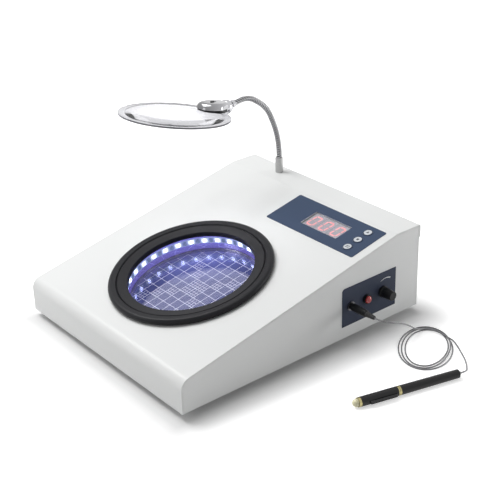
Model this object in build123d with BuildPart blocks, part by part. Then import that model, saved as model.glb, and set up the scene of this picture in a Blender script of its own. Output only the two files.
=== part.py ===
from build123d import *
import os
from math import atan2, cos, degrees, radians, sin, tan

os.makedirs("parts", exist_ok=True)

# A bench colony counter, in millimetres. X is to the right, Y to the back, Z up.
# The origin is on the bench, under the centre of the case.

# ---------------------------------------------------------------- driving sizes

# Case, folded from sheet steel
case_width = 300.0
case_depth = 350.0
foot_height = 8.0
front_height = 38.6  # to where the deck's plane meets the front face
rear_height = 105.0
rear_deck_depth = 38.5
sheet = 1.5
lip_radius = 13.0
rear_edge_radius = 2.0
rear_flange = 16.0
side_flange = 14.0
panel_gap = 0.3

# Screws
screw_radius = 1.5
screw_hole_radius = 1.7
screw_head_radius = 2.9
screw_head_height = 1.8
screw_length = 7.0
rear_screw_spread = 110.0
side_screw_height = 36.0
side_screw_pitch = 30.0

# Feet
foot_inset = 30.0
foot_radius = 10.0
foot_base_radius = 8.5
foot_recess_radius = 5.0
foot_recess_depth = 4.0

# Viewing station, on the deck's slope
station_x = 5.0
station_s = 127.0  # up the slope from the front face's plane
bezel_radius = 98.0
bezel_height = 8.0
groove_radius = 87.5
groove_width = 1.2
bezel_lip_radius = 75.0
bezel_lip_height = 5.0
glass_thickness = 3.0
glass_clearance = 0.3
gasket_thickness = 0.5
gasket_width = 3.5
chamber_radius = 81.5
chamber_depth = 26.5
chamber_flange_radius = 96.0
chamber_wall = 1.5
station_screw_circle = 90.5
station_screw_count = 4
led_strip_height = 8.0
led_strip_thickness = 0.6
led_strip_depth = 9.8
led_count = 30
led_width = 3.5
led_height = 2.8
led_thickness = 1.4
backdrop_thickness = 1.0

# Display group, on the deck's slope
overlay_width = 148.6
overlay_length = 57.2
overlay_side_gap = 11.0
overlay_setback = 34.6  # from the deck's rear bend to the overlay's middle
overlay_thickness = 0.5
overlay_corner = 2.0
window_width = 61.0
window_length = 27.0
window_from_edge = 72.4
window_flange = 3.0
window_flange_thickness = 1.0
digit_count = 3
digit_pitch = 20.0
digit_width = 19.4
digit_length = 27.0
key_from_edge = 18.6
key_pitch = 16.6
key_radius = 6.0
key_clearance = 0.2
key_proud = 0.6
key_flange = 1.2
key_travel = 0.5
key_stem_radius = 1.5
board_thickness = 1.6
board_depth = 9.0  # from the deck's outside to the board's upper face
board_margin = 3.6
switch_size = 6.0
switch_height = 3.5
standoff_radius = 3.0

# Controls in the right wall
side_overlay_length = 85.0
side_overlay_height = 48.9
side_overlay_y = 92.8
side_overlay_z = 47.4
side_overlay_corner = 4.0
control_z = 47.2
jack_y = 63.5
button_y = 88.0
knob_y = 114.0

jack_bush_radius = 4.0
jack_bush_proud = 1.5
jack_bush_length = 12.0
jack_body = 12.0
jack_body_depth = 13.0
jack_bore_radius = 1.8
jack_nut_radius = 5.6
nut_clearance = 0.05
hole_clearance = 0.2

collar_radius = 5.6
collar_proud = 3.0
button_barrel_radius = 5.0
button_barrel_length = 15.0
button_bore_radius = 4.5
button_bore_depth = 4.5
cap_clearance = 0.08
cap_dome_height = 2.4
reset_travel = 2.0
button_stem_radius = 1.9
button_nut_radius = 7.0

pot_body_radius = 8.2
pot_body_depth = 9.0
pot_body_gap = 6.5
pot_bush_radius = 3.5
pot_bush_proud = 2.7
shaft_radius = 3.0
shaft_clearance = 0.05
nut_across_flats = 10.0
nut_thickness = 2.0
knob_base_radius = 7.0
knob_top_radius = 5.6
knob_length = 16.8
knob_floor_gap = 0.5
knob_recess_radius = 6.2
knob_recess_depth = 2.6
knob_flutes = 12

# Magnifier
post_side_inset = 68.5
post_rear_inset = 17.0
post_radius = 5.0
post_height = 20.0
post_shank_radius = 4.0
post_shank_length = 10.0
post_nut_across_flats = 13.0
post_nut_thickness = 4.0
neck_radius = 4.0
neck_core_radius = 3.3
ring_root_radius = 2.9
ring_pitch = 4.2
ring_gap = 0.2
ball_radius = 3.0
ball_clearance = 0.12
ball_throat_radius = 2.0
ball_lead = 3.6
socket_length = 5.0
neck_bends = [("neck_lower", 48.8, 23.1), ("neck_middle", 27.7, 30.7), ("neck_upper", 25.5, 44.4)]
collar_length = 5.0
neck_collar_radius = 4.8
lens_beyond_drum = 75.9
lens_above_drum = 8.2
lens_radius = 66.4
lens_pitch = 9.7
lens_roll = 2.3
lens_flange_width = 8.0
lens_flange_thickness = 2.0
lens_top_rise = 3.0
lens_bottom_rise = 6.0
head_front_s = 36.5  # from the lens's centre, towards the neck
head_wide_s = 53.0
head_half_width = 16.0
head_split_height = 5.0
head_crown = 7.5
drum_radius = 9.0
switch_slot_length = 9.0
switch_slot_width = 3.4
switch_travel = 3.0

# Rear panel fittings
inlet_x = 72.0
rocker_x = 112.0
fitting_z = 42.0
inlet_flange_width = 50.0
inlet_flange_height = 23.0
inlet_flange_thickness = 3.0
inlet_body_width = 27.0
inlet_body_height = 19.6
inlet_body_depth = 19.0
inlet_cavity_width = 24.0
inlet_cavity_height = 16.4
inlet_cavity_depth = 16.0
inlet_pin_length = 12.0
inlet_pin_spread = 7.0
rocker_frame_width = 15.0
rocker_frame_height = 21.0
rocker_frame_lip = 1.0
rocker_frame_proud = 2.0
rocker_body_depth = 13.0
rocker_cavity_width = 10.6
rocker_cavity_height = 17.0
rocker_tilt = 7.0
rocker_clearance = 0.2
rocker_pin_radius = 1.0

# Supply, on the base plate
supply_side_inset = 110.0
supply_rear_inset = 65.0
supply_board_width = 90.0
supply_board_length = 60.0
supply_board_height = 6.0
transformer_side_inset = 58.0
transformer_rear_inset = 63.0
floor_vent_y = 20.0
core_width = 57.0
core_thickness = 19.0
core_height = 47.5
bobbin_width = 36.0
bobbin_thickness = 40.0
bobbin_height = 27.0

# Pen and its lead
plug_radius = 4.5
plug_length = 24.0
plug_gap = 0.4
pin_radius = 1.75
pin_length = 14.0
boot_radius = 3.25
boot_end_radius = 2.4
boot_length = 12.3
cord_radius = 0.85
floor_clearance = 0.05
coil_x = 218.0
coil_y = 117.5
coil_turn = -49.5
coil_length = 100.0
coil_width = 66.0
coil_band = 14.0
coil_height = 4.6
pen_rear = (283.3, 97.9)
pen_point = (249.2, -28.2)
pen_rear_radius = 5.0
pen_front_radius = 5.5
pen_band_at = 73.8
pen_band_length = 3.4
pen_spigot_radius = 4.0
pen_spigot_length = 7.0
pen_tip_length = 5.9
pen_tip_radius = 4.25
pen_tip_clearance = 0.1
pen_dome_rise = 3.2
pen_tip_travel = 1.5
pen_tip_stem = 11.0
pen_tip_ring_length = 3.0
pen_bush_radius = 2.2
pen_bush_proud = 3.0
pen_bush_depth = 5.0
clip_length = 33.0
clip_width = 3.6
clip_thickness = 1.2
clip_gap = 1.0
clip_start = 79.5
clip_root = 5.0

# ---------------------------------------------------------------- shared frames

case_bottom = foot_height
case_top = case_bottom + rear_height
front_y = -case_depth / 2
rear_y = case_depth / 2
wall_x = case_width / 2
deck_front_z = case_bottom + front_height
deck_slope = atan2(case_top - deck_front_z, case_depth - rear_deck_depth)
pan_inset = sheet + panel_gap
rear_panel_face = rear_y - pan_inset
pan_rear_y = rear_panel_face - pan_inset
base_top = case_bottom + sheet
inner_wall_x = wall_x - sheet
deck_length = (case_depth - rear_deck_depth) / cos(deck_slope)
overlay_x = wall_x - overlay_side_gap - overlay_width / 2
overlay_s = deck_length - overlay_setback
window_x = overlay_x + overlay_width / 2 - window_from_edge
key_x = overlay_x + overlay_width / 2 - key_from_edge
post_x = -wall_x + post_side_inset
post_y = rear_y - post_rear_inset
supply_board_x = wall_x - supply_side_inset
supply_board_y = rear_y - supply_rear_inset
transformer_x = -wall_x + transformer_side_inset
transformer_y = rear_y - transformer_rear_inset

deck = Plane(
    origin=(0, front_y, deck_front_z),
    x_dir=(1, 0, 0),
    z_dir=(0, -sin(deck_slope), cos(deck_slope)),
)


def deck_plane(x, s, lift=0.0):
    """A plane parallel to the deck, centred at x and s up the slope."""
    return Plane(origin=deck.from_local_coords((x, s, lift)), x_dir=(1, 0, 0), z_dir=deck.z_dir)


def wall_plane(y, z, x=wall_x):
    """A plane on the right wall that faces out, with its own x along Y."""
    return Plane(origin=(x, y, z), x_dir=(0, 1, 0), z_dir=(1, 0, 0))


def rear_plane(x, z, y=rear_panel_face):
    """A plane on the rear panel that faces out, with its own y along Z."""
    return Plane(origin=(x, y, z), x_dir=(-1, 0, 0), z_dir=(0, 1, 0))


def turn(plane, outline, mode=Mode.ADD):
    """Turn a closed outline of (radius, height) points about the plane's normal."""
    section = Plane(origin=plane.origin, x_dir=plane.x_dir, z_dir=-plane.y_dir)
    with BuildSketch(section) as profile:
        with BuildLine():
            Polyline(*outline, close=True)
        make_face()
    revolve(profile.sketch, axis=Axis(plane.origin, plane.z_dir), mode=mode)


def ring_outline(inner, outer, low, high):
    """The (radius, height) corners of a plain ring or, with inner 0, a disc."""
    return [(inner, low), (outer, low), (outer, high), (inner, high)]


def round_corner(profile, corner, radius):
    """Round the corner of a sketch that is nearest to a point."""
    fillet(profile.vertices().sort_by_distance(corner)[0], radius)


def add_block(plane, width, length, height, mode=Mode.ADD):
    """Add a block that stands on a plane, centred on its origin."""
    with BuildSketch(plane) as footprint:
        Rectangle(width, length)
    extrude(footprint.sketch, amount=height, mode=mode)


def add_screw(plane, length=screw_length):
    """Add a pan-head screw whose head stands on the plane."""
    outline = [
        (0, -length),
        (screw_radius, -length),
        (screw_radius, 0),
        (screw_head_radius, 0),
        (screw_head_radius, 0.6 * screw_head_height),
        (0.6 * screw_head_radius, screw_head_height),
        (0, screw_head_height),
    ]
    turn(plane, outline)


def dome_middle(radius, rise):
    """A (radius, rise) point half way out on a shallow spherical cap."""
    sphere = (radius**2 + rise**2) / (2 * rise)
    return radius / 2, (sphere**2 - radius**2 / 4) ** 0.5 - sphere + rise


def save(part, name):
    """Label a finished piece and write it to its own file."""
    part.label = name
    export_step(part, f"parts/{name}.step")


def case_outline(inset, back, front_bottom, back_bottom):
    """Corners of the case's side view, moved in at the front, deck and top."""
    front = front_y + inset
    drop = inset / cos(deck_slope)
    lip_z = deck_front_z + inset * tan(deck_slope) - drop
    bend = front_y + (case_top - inset - deck_front_z + drop) / tan(deck_slope)
    return [
        (front, front_bottom),
        (front, lip_z),
        (bend, case_top - inset),
        (back, case_top - inset),
        (back, back_bottom),
    ]


station = deck_plane(station_x, station_s)
underside = station.offset(-sheet)

# ---------------------------------------------------------------- case

cover_hole_radius = chamber_radius + 1.0
key_s = [overlay_s + key_pitch, overlay_s, overlay_s - key_pitch]
flange_screw_z = case_top - rear_flange / 2
rear_screw_x = [-rear_screw_spread, 0, rear_screw_spread]
standoff_x = overlay_width / 2 - 2 * standoff_radius - board_margin
standoff_s = overlay_length / 2 - 1.5 * standoff_radius

with BuildPart() as top_cover:
    outside = case_outline(0, rear_y, case_bottom, case_top - rear_flange)
    inside = case_outline(sheet, rear_y - sheet, case_bottom, case_top - rear_flange)
    with BuildSketch(Plane.YZ) as cover_profile:
        with BuildLine():
            Polyline(*outside, *reversed(inside), close=True)
        make_face()
        round_corner(cover_profile, outside[1], lip_radius)
        round_corner(cover_profile, inside[1], lip_radius - sheet)
        round_corner(cover_profile, outside[3], rear_edge_radius)
        round_corner(cover_profile, inside[3], rear_edge_radius - sheet)
    extrude(amount=wall_x, both=True)
    with BuildSketch(station):
        Circle(cover_hole_radius)
        with PolarLocations(station_screw_circle, station_screw_count, 45):
            Circle(screw_hole_radius)
    extrude(amount=-2 * sheet, mode=Mode.SUBTRACT)
    with BuildSketch(deck):
        with Locations((window_x, overlay_s)):
            Rectangle(window_width, window_length)
        with Locations(*[(key_x, s) for s in key_s]):
            Circle(key_radius + key_clearance)
    extrude(amount=-2 * sheet, mode=Mode.SUBTRACT)
    with BuildSketch(Plane.XY.offset(case_top)):
        with Locations((post_x, post_y)):
            Circle(post_shank_radius + hole_clearance)
    extrude(amount=-2 * sheet, mode=Mode.SUBTRACT)
    with BuildSketch(rear_plane(0, 0, rear_y)):
        with Locations(*[(x, flange_screw_z) for x in rear_screw_x]):
            Circle(screw_hole_radius)
    extrude(amount=-2 * sheet, mode=Mode.SUBTRACT)
save(top_cover.part, "top_cover")


def add_side_pan(side):
    """Add a side panel with a rim folded in behind the cover, on side 1 or -1."""
    face = Plane.YZ.offset(side * inner_wall_x)
    outline = case_outline(pan_inset, pan_rear_y, case_bottom, case_bottom)
    with BuildSketch(face) as plate:
        with BuildLine():
            Polyline(*outline, close=True)
        make_face()
        round_corner(plate, outline[1], lip_radius - pan_inset)
    extrude(plate.sketch, amount=side * sheet)
    rim_outline = case_outline(pan_inset, pan_rear_y, base_top, base_top)
    with BuildSketch(face) as rim:
        with BuildLine():
            Polyline(*rim_outline, close=True)
        make_face()
        round_corner(rim, rim_outline[1], lip_radius - pan_inset)
        offset(amount=-sheet, kind=Kind.INTERSECTION, mode=Mode.SUBTRACT)
    extrude(rim.sketch, amount=-side * side_flange)


side_screw_x = inner_wall_x - side_flange / 2
side_screw_z = [side_screw_height, side_screw_height + side_screw_pitch]
base_screw_y = [-case_depth / 4, case_depth / 4]

for panel_name, side in (("left_side_panel", -1), ("right_side_panel", 1)):
    with BuildPart() as side_panel:
        add_side_pan(side)
        with BuildSketch(rear_plane(0, 0, pan_rear_y)):
            with Locations(*[(-side * side_screw_x, z) for z in side_screw_z]):
                Circle(screw_radius)
        extrude(amount=-2 * sheet, mode=Mode.SUBTRACT)
        with BuildSketch(Plane.XY.offset(base_top)):
            with Locations(*[(side * side_screw_x, y) for y in base_screw_y]):
                Circle(screw_radius)
        extrude(amount=2 * sheet, mode=Mode.SUBTRACT)
        if side > 0:
            with BuildSketch(wall_plane(0, 0)):
                with Locations((jack_y, control_z)):
                    Circle(jack_bush_radius + hole_clearance)
                with Locations((button_y, control_z)):
                    Circle(button_barrel_radius + hole_clearance)
                with Locations((knob_y, control_z)):
                    Circle(pot_bush_radius + hole_clearance)
            extrude(amount=-2 * sheet, mode=Mode.SUBTRACT)
    save(side_panel.part, panel_name)

vent_length = 22.0
vent_width = 3.0
vent_pitch = 7.0
rear_panel_top = case_top - pan_inset

with BuildPart() as rear_panel:
    with BuildSketch(rear_plane(0, (case_bottom + rear_panel_top) / 2)):
        Rectangle(case_width, rear_panel_top - case_bottom)
    extrude(amount=-sheet)
    with BuildSketch(rear_plane(0, 0)):
        with Locations((-inlet_x, fitting_z)):
            Rectangle(inlet_body_width + 2 * hole_clearance, inlet_body_height + 2 * hole_clearance)
            with GridLocations(inlet_flange_width - 10, 1, 2, 1):
                Circle(screw_radius)
        with Locations((-rocker_x, fitting_z)):
            Rectangle(
                rocker_frame_width - 2 * rocker_frame_lip + 2 * hole_clearance,
                rocker_frame_height - 2 * rocker_frame_lip + 2 * hole_clearance,
            )
        with Locations(*[(x, flange_screw_z) for x in rear_screw_x]):
            Circle(screw_radius)
        with Locations(*[(s * side_screw_x, z) for s in (-1, 1) for z in side_screw_z]):
            Circle(screw_hole_radius)
        with Locations((-transformer_x, fitting_z + 12)):
            with GridLocations(1, vent_pitch, 1, 5):
                SlotOverall(vent_length * 2, vent_width)
    extrude(amount=-2 * sheet, mode=Mode.SUBTRACT)
save(rear_panel.part, "rear_panel")

foot_x = wall_x - foot_inset
foot_y = case_depth / 2 - foot_inset
foot_places = [(x, y) for x in (-foot_x, foot_x) for y in (-foot_y, foot_y)] + [(0, 0)]
base_front_y = front_y + pan_inset
base_length = pan_rear_y - base_front_y
base_centre_y = (pan_rear_y + base_front_y) / 2
base_width = 2 * (inner_wall_x - panel_gap)
base_flange_height = 12.0
foot_screw_radius = 2.0

with BuildPart() as base_plate:
    with BuildSketch(Plane.XY.offset(case_bottom)):
        with Locations((0, base_centre_y)):
            Rectangle(base_width, base_length)
        with Locations(*foot_places):
            Circle(foot_screw_radius + hole_clearance, mode=Mode.SUBTRACT)
        with Locations(*[(s * side_screw_x, y) for s in (-1, 1) for y in base_screw_y]):
            Circle(screw_hole_radius, mode=Mode.SUBTRACT)
        with Locations((transformer_x, floor_vent_y), (supply_board_x, floor_vent_y)):
            with GridLocations(vent_pitch, 1, 7, 1):
                SlotOverall(vent_length * 2, vent_width, rotation=90, mode=Mode.SUBTRACT)
    extrude(amount=sheet)
    with BuildSketch(Plane.XY.offset(base_top)):
        with Locations((0, base_front_y + sheet / 2)):
            Rectangle(base_width - 2 * side_flange - 4, sheet)
    extrude(amount=base_flange_height)
save(base_plate.part, "base_plate")

with BuildPart() as rubber_feet:
    foot_outline = [
        (foot_screw_radius + hole_clearance, foot_recess_depth),
        (foot_recess_radius, foot_recess_depth),
        (foot_recess_radius, 0),
        (foot_base_radius, 0),
        (foot_radius, foot_height),
        (foot_screw_radius + hole_clearance, foot_height),
    ]
    for x, y in foot_places:
        turn(Plane.XY.move(Location((x, y, 0))), foot_outline)
save(rubber_feet.part, "rubber_feet")

foot_nut_height = 3.0
foot_head_height = 2.4
with BuildPart() as base_screws:
    stud_outline = [
        (0, foot_recess_depth - foot_head_height),
        (0.9 * foot_recess_radius, foot_recess_depth - foot_head_height),
        (0.9 * foot_recess_radius, foot_recess_depth),
        (foot_screw_radius, foot_recess_depth),
        (foot_screw_radius, base_top),
        (2 * foot_screw_radius, base_top),
        (2 * foot_screw_radius, base_top + foot_nut_height),
        (0, base_top + foot_nut_height),
    ]
    for x, y in foot_places:
        turn(Plane.XY.move(Location((x, y, 0))), stud_outline)
    for x in (-side_screw_x, side_screw_x):
        for y in base_screw_y:
            add_screw(Plane(origin=(x, y, case_bottom), x_dir=(1, 0, 0), z_dir=(0, 0, -1)))
save(base_screws.part, "base_screws")

with BuildPart() as rear_screws:
    for x in rear_screw_x:
        add_screw(rear_plane(x, flange_screw_z, rear_y))
    for x in (-side_screw_x, side_screw_x):
        for z in side_screw_z:
            add_screw(rear_plane(x, z))
    for x in (-1, 1):
        ear_x = inlet_x + x * (inlet_flange_width / 2 - 5)
        add_screw(rear_plane(ear_x, fitting_z, rear_panel_face + inlet_flange_thickness))
save(rear_screws.part, "rear_screws")

# ---------------------------------------------------------------- viewing station

bead_radius = bezel_height / 2
bezel_seat_radius = bezel_radius - bead_radius
spigot_face = cover_hole_radius - glass_clearance
spigot_depth = sheet - glass_clearance
bezel_screw_depth = 4.0

with BuildPart() as bezel_ring:
    section = Plane(origin=station.origin, x_dir=station.x_dir, z_dir=-station.y_dir)
    with BuildSketch(section) as bezel_profile:
        with BuildLine():
            l1 = Line((bezel_seat_radius, 0), (spigot_face, 0))
            l2 = Line(l1 @ 1, (spigot_face, -spigot_depth))
            l3 = Line(l2 @ 1, (bezel_lip_radius, -spigot_depth))
            l4 = Line(l3 @ 1, (bezel_lip_radius, bezel_lip_height - 0.5))
            l5 = Line(l4 @ 1, (bezel_lip_radius + 0.5, bezel_lip_height))
            l6 = Line(l5 @ 1, (groove_radius - groove_width, bezel_height - 1.2))
            l7 = Line(l6 @ 1, (groove_radius, bezel_height - 2.4))
            l8 = Line(l7 @ 1, (groove_radius + groove_width, bezel_height - 0.6))
            l9 = Line(l8 @ 1, (bezel_seat_radius, bezel_height))
            l10 = TangentArc(l9 @ 1, (bezel_radius, bead_radius), tangent=(1, 0))
            l11 = TangentArc(l10 @ 1, (bezel_seat_radius, 0), tangent=l10 % 1)
        make_face()
    revolve(axis=Axis(station.origin, station.z_dir))
    with BuildSketch(station):
        with PolarLocations(station_screw_circle, station_screw_count, 45):
            Circle(screw_radius)
    extrude(amount=bezel_screw_depth, mode=Mode.SUBTRACT)
save(bezel_ring.part, "bezel_ring")

chamber_floor = -chamber_depth
with BuildPart() as light_chamber:
    chamber_outline = [
        (0, chamber_floor - chamber_wall),
        (chamber_radius, chamber_floor - chamber_wall),
        (chamber_radius, -sheet - chamber_wall),
        (chamber_flange_radius, -sheet - chamber_wall),
        (chamber_flange_radius, -sheet),
        (chamber_radius - chamber_wall, -sheet),
        (chamber_radius - chamber_wall, chamber_floor),
        (0, chamber_floor),
    ]
    turn(station, chamber_outline)
    with BuildSketch(underside):
        with PolarLocations(station_screw_circle, station_screw_count, 45):
            Circle(screw_hole_radius)
    extrude(amount=-2 * chamber_wall, mode=Mode.SUBTRACT)
save(light_chamber.part, "light_chamber")

strip_outer = chamber_radius - chamber_wall
strip_inner = strip_outer - led_strip_thickness
strip_low = -led_strip_depth - led_strip_height / 2
strip_high = -led_strip_depth + led_strip_height / 2
with BuildPart() as led_strip:
    turn(station, ring_outline(strip_inner, strip_outer, strip_low, strip_high))
save(led_strip.part, "led_strip")

led_chord_gap = strip_inner - (strip_inner**2 - led_width**2 / 4) ** 0.5
led_seat = strip_inner - led_chord_gap
with BuildPart() as strip_leds:
    with Locations(station.offset(-led_strip_depth)):
        with PolarLocations(led_seat - led_thickness / 2, led_count):
            Box(led_thickness, led_width, led_height)
save(strip_leds.part, "strip_leds")

glass_radius = strip_outer - glass_clearance
backdrop_top = chamber_floor + backdrop_thickness
with BuildPart() as backdrop_disc:
    turn(station, ring_outline(0, glass_radius, chamber_floor, backdrop_top))
save(backdrop_disc.part, "backdrop_disc")

glass_bottom = backdrop_top + gasket_thickness
with BuildPart() as glass_gasket:
    turn(station, ring_outline(glass_radius - gasket_width, glass_radius, backdrop_top, glass_bottom))
save(glass_gasket.part, "glass_gasket")

glass_top = glass_bottom + glass_thickness
with BuildPart() as glass_plate:
    turn(station, ring_outline(0, glass_radius, glass_bottom, glass_top))
save(glass_plate.part, "glass_plate")

with BuildPart() as station_screws:
    for angle in range(station_screw_count):
        turn_angle = radians(45 + angle * 360 / station_screw_count)
        head_x = station_x + station_screw_circle * cos(turn_angle)
        head_s = station_s + station_screw_circle * sin(turn_angle)
        head = deck_plane(head_x, head_s, -sheet - chamber_wall)
        add_screw(Plane(origin=head.origin, x_dir=head.x_dir, z_dir=-head.z_dir), bezel_screw_depth + sheet)
save(station_screws.part, "station_screws")

# ---------------------------------------------------------------- display

with BuildPart() as display_overlay:
    with BuildSketch(deck):
        with Locations((overlay_x, overlay_s)):
            RectangleRounded(overlay_width, overlay_length, overlay_corner)
        with Locations((window_x, overlay_s)):
            Rectangle(window_width, window_length, mode=Mode.SUBTRACT)
        with Locations(*[(key_x, s) for s in key_s]):
            Circle(key_radius + key_clearance, mode=Mode.SUBTRACT)
    extrude(amount=overlay_thickness)
save(display_overlay.part, "display_overlay")

with BuildPart() as display_window:
    add_block(
        deck_plane(window_x, overlay_s, -sheet),
        window_width - 2 * key_clearance,
        window_length - 2 * key_clearance,
        sheet + overlay_thickness,
    )
    add_block(
        deck_plane(window_x, overlay_s, -sheet - window_flange_thickness),
        window_width + 2 * window_flange,
        window_length + 2 * window_flange,
        window_flange_thickness,
    )
save(display_window.part, "display_window")

window_back = sheet + window_flange_thickness + hole_clearance
with BuildPart() as digit_displays:
    for index in range(digit_count):
        digit_x = window_x + (index - (digit_count - 1) / 2) * digit_pitch
        digit_plane = deck_plane(digit_x, overlay_s, -board_depth)
        add_block(digit_plane, digit_width, digit_length, board_depth - window_back)
save(digit_displays.part, "digit_displays")

board_width = overlay_width - 2 * board_margin
board_length = overlay_length - 2 * board_margin
with BuildPart() as display_board:
    with BuildSketch(deck.offset(-board_depth)):
        with Locations((overlay_x, overlay_s)):
            Rectangle(board_width, board_length)
            with GridLocations(2 * standoff_x, 2 * standoff_s, 2, 2):
                Circle(screw_hole_radius, mode=Mode.SUBTRACT)
    extrude(amount=-board_thickness)
    for s in key_s:
        add_block(deck_plane(key_x, s, -board_depth), switch_size, switch_size, switch_height)
save(display_board.part, "display_board")

switch_top = -board_depth + switch_height
key_low = -sheet - panel_gap
for key_name, s in zip(("upper_key", "middle_key", "lower_key"), key_s):
    with BuildPart() as key:
        key_outline = [
            (0, switch_top + key_travel + 0.1),
            (key_stem_radius, switch_top + key_travel + 0.1),
            (key_stem_radius, key_low - key_flange),
            (key_radius + key_flange, key_low - key_flange),
            (key_radius + key_flange, key_low),
            (key_radius, key_low),
            (key_radius, overlay_thickness + key_proud - 0.3),
            (key_radius - 0.3, overlay_thickness + key_proud),
            (0, overlay_thickness + key_proud),
        ]
        turn(deck_plane(key_x, s), key_outline)
    save(key.part, key_name)

# ---------------------------------------------------------------- supply

supply_board_z = base_top + supply_board_height
supply_post_x = supply_board_width / 2 - 2 * standoff_radius
supply_post_y = supply_board_length / 2 - 2 * standoff_radius
display_post = ring_outline(screw_radius, standoff_radius, -board_depth, -sheet)
supply_post = ring_outline(screw_radius, standoff_radius, base_top, supply_board_z)

with BuildPart() as board_standoffs:
    for x in (-1, 1):
        for y in (-1, 1):
            turn(deck_plane(overlay_x + x * standoff_x, overlay_s + y * standoff_s), display_post)
            post_place = (supply_board_x + x * supply_post_x, supply_board_y + y * supply_post_y, 0)
            turn(Plane.XY.move(Location(post_place)), supply_post)
save(board_standoffs.part, "board_standoffs")

capacitor_radius = 8.0
capacitor_height = 24.0
terminal_length = 30.0
terminal_size = 9.0
terminal_x = 18.0
terminal_y = 22.0
with BuildPart() as supply_board:
    with BuildSketch(Plane.XY.offset(supply_board_z)):
        with Locations((supply_board_x, supply_board_y)):
            Rectangle(supply_board_width, supply_board_length)
            with GridLocations(2 * supply_post_x, 2 * supply_post_y, 2, 2):
                Circle(screw_hole_radius, mode=Mode.SUBTRACT)
    extrude(amount=board_thickness)
    board_face = Plane.XY.offset(supply_board_z + board_thickness)
    with BuildSketch(board_face):
        with Locations((supply_board_x - 12, supply_board_y)):
            Circle(capacitor_radius)
    extrude(amount=capacitor_height)
    with BuildSketch(board_face):
        with Locations((supply_board_x + terminal_x, supply_board_y)):
            with GridLocations(1, 2 * terminal_y, 1, 2):
                Rectangle(terminal_length, terminal_size)
    extrude(amount=terminal_size)
save(supply_board.part, "supply_board")

with BuildPart() as transformer:
    core_foot = Plane.XY.move(Location((transformer_x, transformer_y, base_top)))
    add_block(core_foot, core_width, core_thickness, core_height)
    bobbin_foot = core_foot.offset((core_height - bobbin_height) / 2)
    add_block(bobbin_foot, bobbin_width, bobbin_thickness, bobbin_height)
save(transformer.part, "transformer")

# ---------------------------------------------------------------- side controls

control_face = wall_x + overlay_thickness
jack_face = wall_plane(jack_y, control_z, control_face)
button_face = wall_plane(button_y, control_z, control_face)
knob_face = wall_plane(knob_y, control_z, control_face)

with BuildPart() as side_overlay:
    with BuildSketch(wall_plane(side_overlay_y, side_overlay_z)) as overlay_outline:
        Rectangle(side_overlay_length, side_overlay_height)
        rear_top_corner = (-side_overlay_length / 2, side_overlay_height / 2)
        round_corner(overlay_outline, rear_top_corner, side_overlay_corner)
        with Locations((jack_y - side_overlay_y, control_z - side_overlay_z)):
            Circle(jack_bush_radius + hole_clearance, mode=Mode.SUBTRACT)
        with Locations((button_y - side_overlay_y, control_z - side_overlay_z)):
            Circle(button_barrel_radius + hole_clearance, mode=Mode.SUBTRACT)
        with Locations((knob_y - side_overlay_y, control_z - side_overlay_z)):
            Circle(pot_bush_radius + hole_clearance, mode=Mode.SUBTRACT)
    extrude(amount=overlay_thickness)
save(side_overlay.part, "side_overlay")

jack_shoulder = jack_bush_proud - jack_bush_length
jack_bore_depth = pin_length + plug_gap + 1.0
with BuildPart() as jack_socket:
    turn(jack_face, ring_outline(0, jack_bush_radius, jack_shoulder, jack_bush_proud))
    add_block(jack_face.offset(jack_shoulder - jack_body_depth), jack_body, jack_body, jack_body_depth)
    turn(
        jack_face,
        ring_outline(0, jack_bore_radius, jack_bush_proud - jack_bore_depth, jack_bush_proud),
        mode=Mode.SUBTRACT,
    )
save(jack_socket.part, "jack_socket")

barrel_floor = -button_bore_depth + collar_proud
with BuildPart() as button_housing:
    turn(button_face, ring_outline(0, collar_radius, 0, collar_proud))
    turn(button_face, ring_outline(0, button_barrel_radius, -button_barrel_length, 0))
    turn(
        button_face,
        ring_outline(0, button_bore_radius, barrel_floor, collar_proud),
        mode=Mode.SUBTRACT,
    )
    turn(
        button_face,
        ring_outline(0, button_stem_radius + cap_clearance, 1 - button_barrel_length, barrel_floor),
        mode=Mode.SUBTRACT,
    )
save(button_housing.part, "button_housing")

cap_radius = button_bore_radius - cap_clearance
cap_low = barrel_floor + reset_travel + 0.2
cap_shoulder = collar_proud + 1.2
with BuildPart() as reset_cap:
    with BuildSketch(Plane(origin=button_face.origin, x_dir=button_face.x_dir, z_dir=-button_face.y_dir)):
        with BuildLine():
            c1 = Line((0, cap_low - 6), (button_stem_radius, cap_low - 6))
            c2 = Line(c1 @ 1, (button_stem_radius, cap_low))
            c3 = Line(c2 @ 1, (cap_radius, cap_low))
            c4 = Line(c3 @ 1, (cap_radius, cap_shoulder))
            half_out, half_up = dome_middle(cap_radius, cap_dome_height)
            c5 = ThreePointArc(
                c4 @ 1,
                (half_out, cap_shoulder + half_up),
                (0, cap_shoulder + cap_dome_height),
            )
            Line(c5 @ 1, c1 @ 0)
        make_face()
    revolve(axis=Axis(button_face.origin, button_face.z_dir))
save(reset_cap.part, "reset_cap")

pot_shoulder = -pot_body_gap
with BuildPart() as potentiometer:
    turn(knob_face, ring_outline(0, pot_bush_radius, pot_shoulder, pot_bush_proud))
    turn(knob_face, ring_outline(0, pot_body_radius, pot_shoulder - pot_body_depth, pot_shoulder))
    add_block(
        wall_plane(knob_y, control_z - pot_body_radius - 1, control_face + pot_shoulder - pot_body_depth + 1),
        pot_body_radius * 1.6,
        pot_body_radius,
        1.6,
    )
    turn(
        knob_face,
        ring_outline(0, shaft_radius + shaft_clearance, pot_shoulder - pot_body_depth / 2, pot_bush_proud),
        mode=Mode.SUBTRACT,
    )
save(potentiometer.part, "potentiometer")

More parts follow.
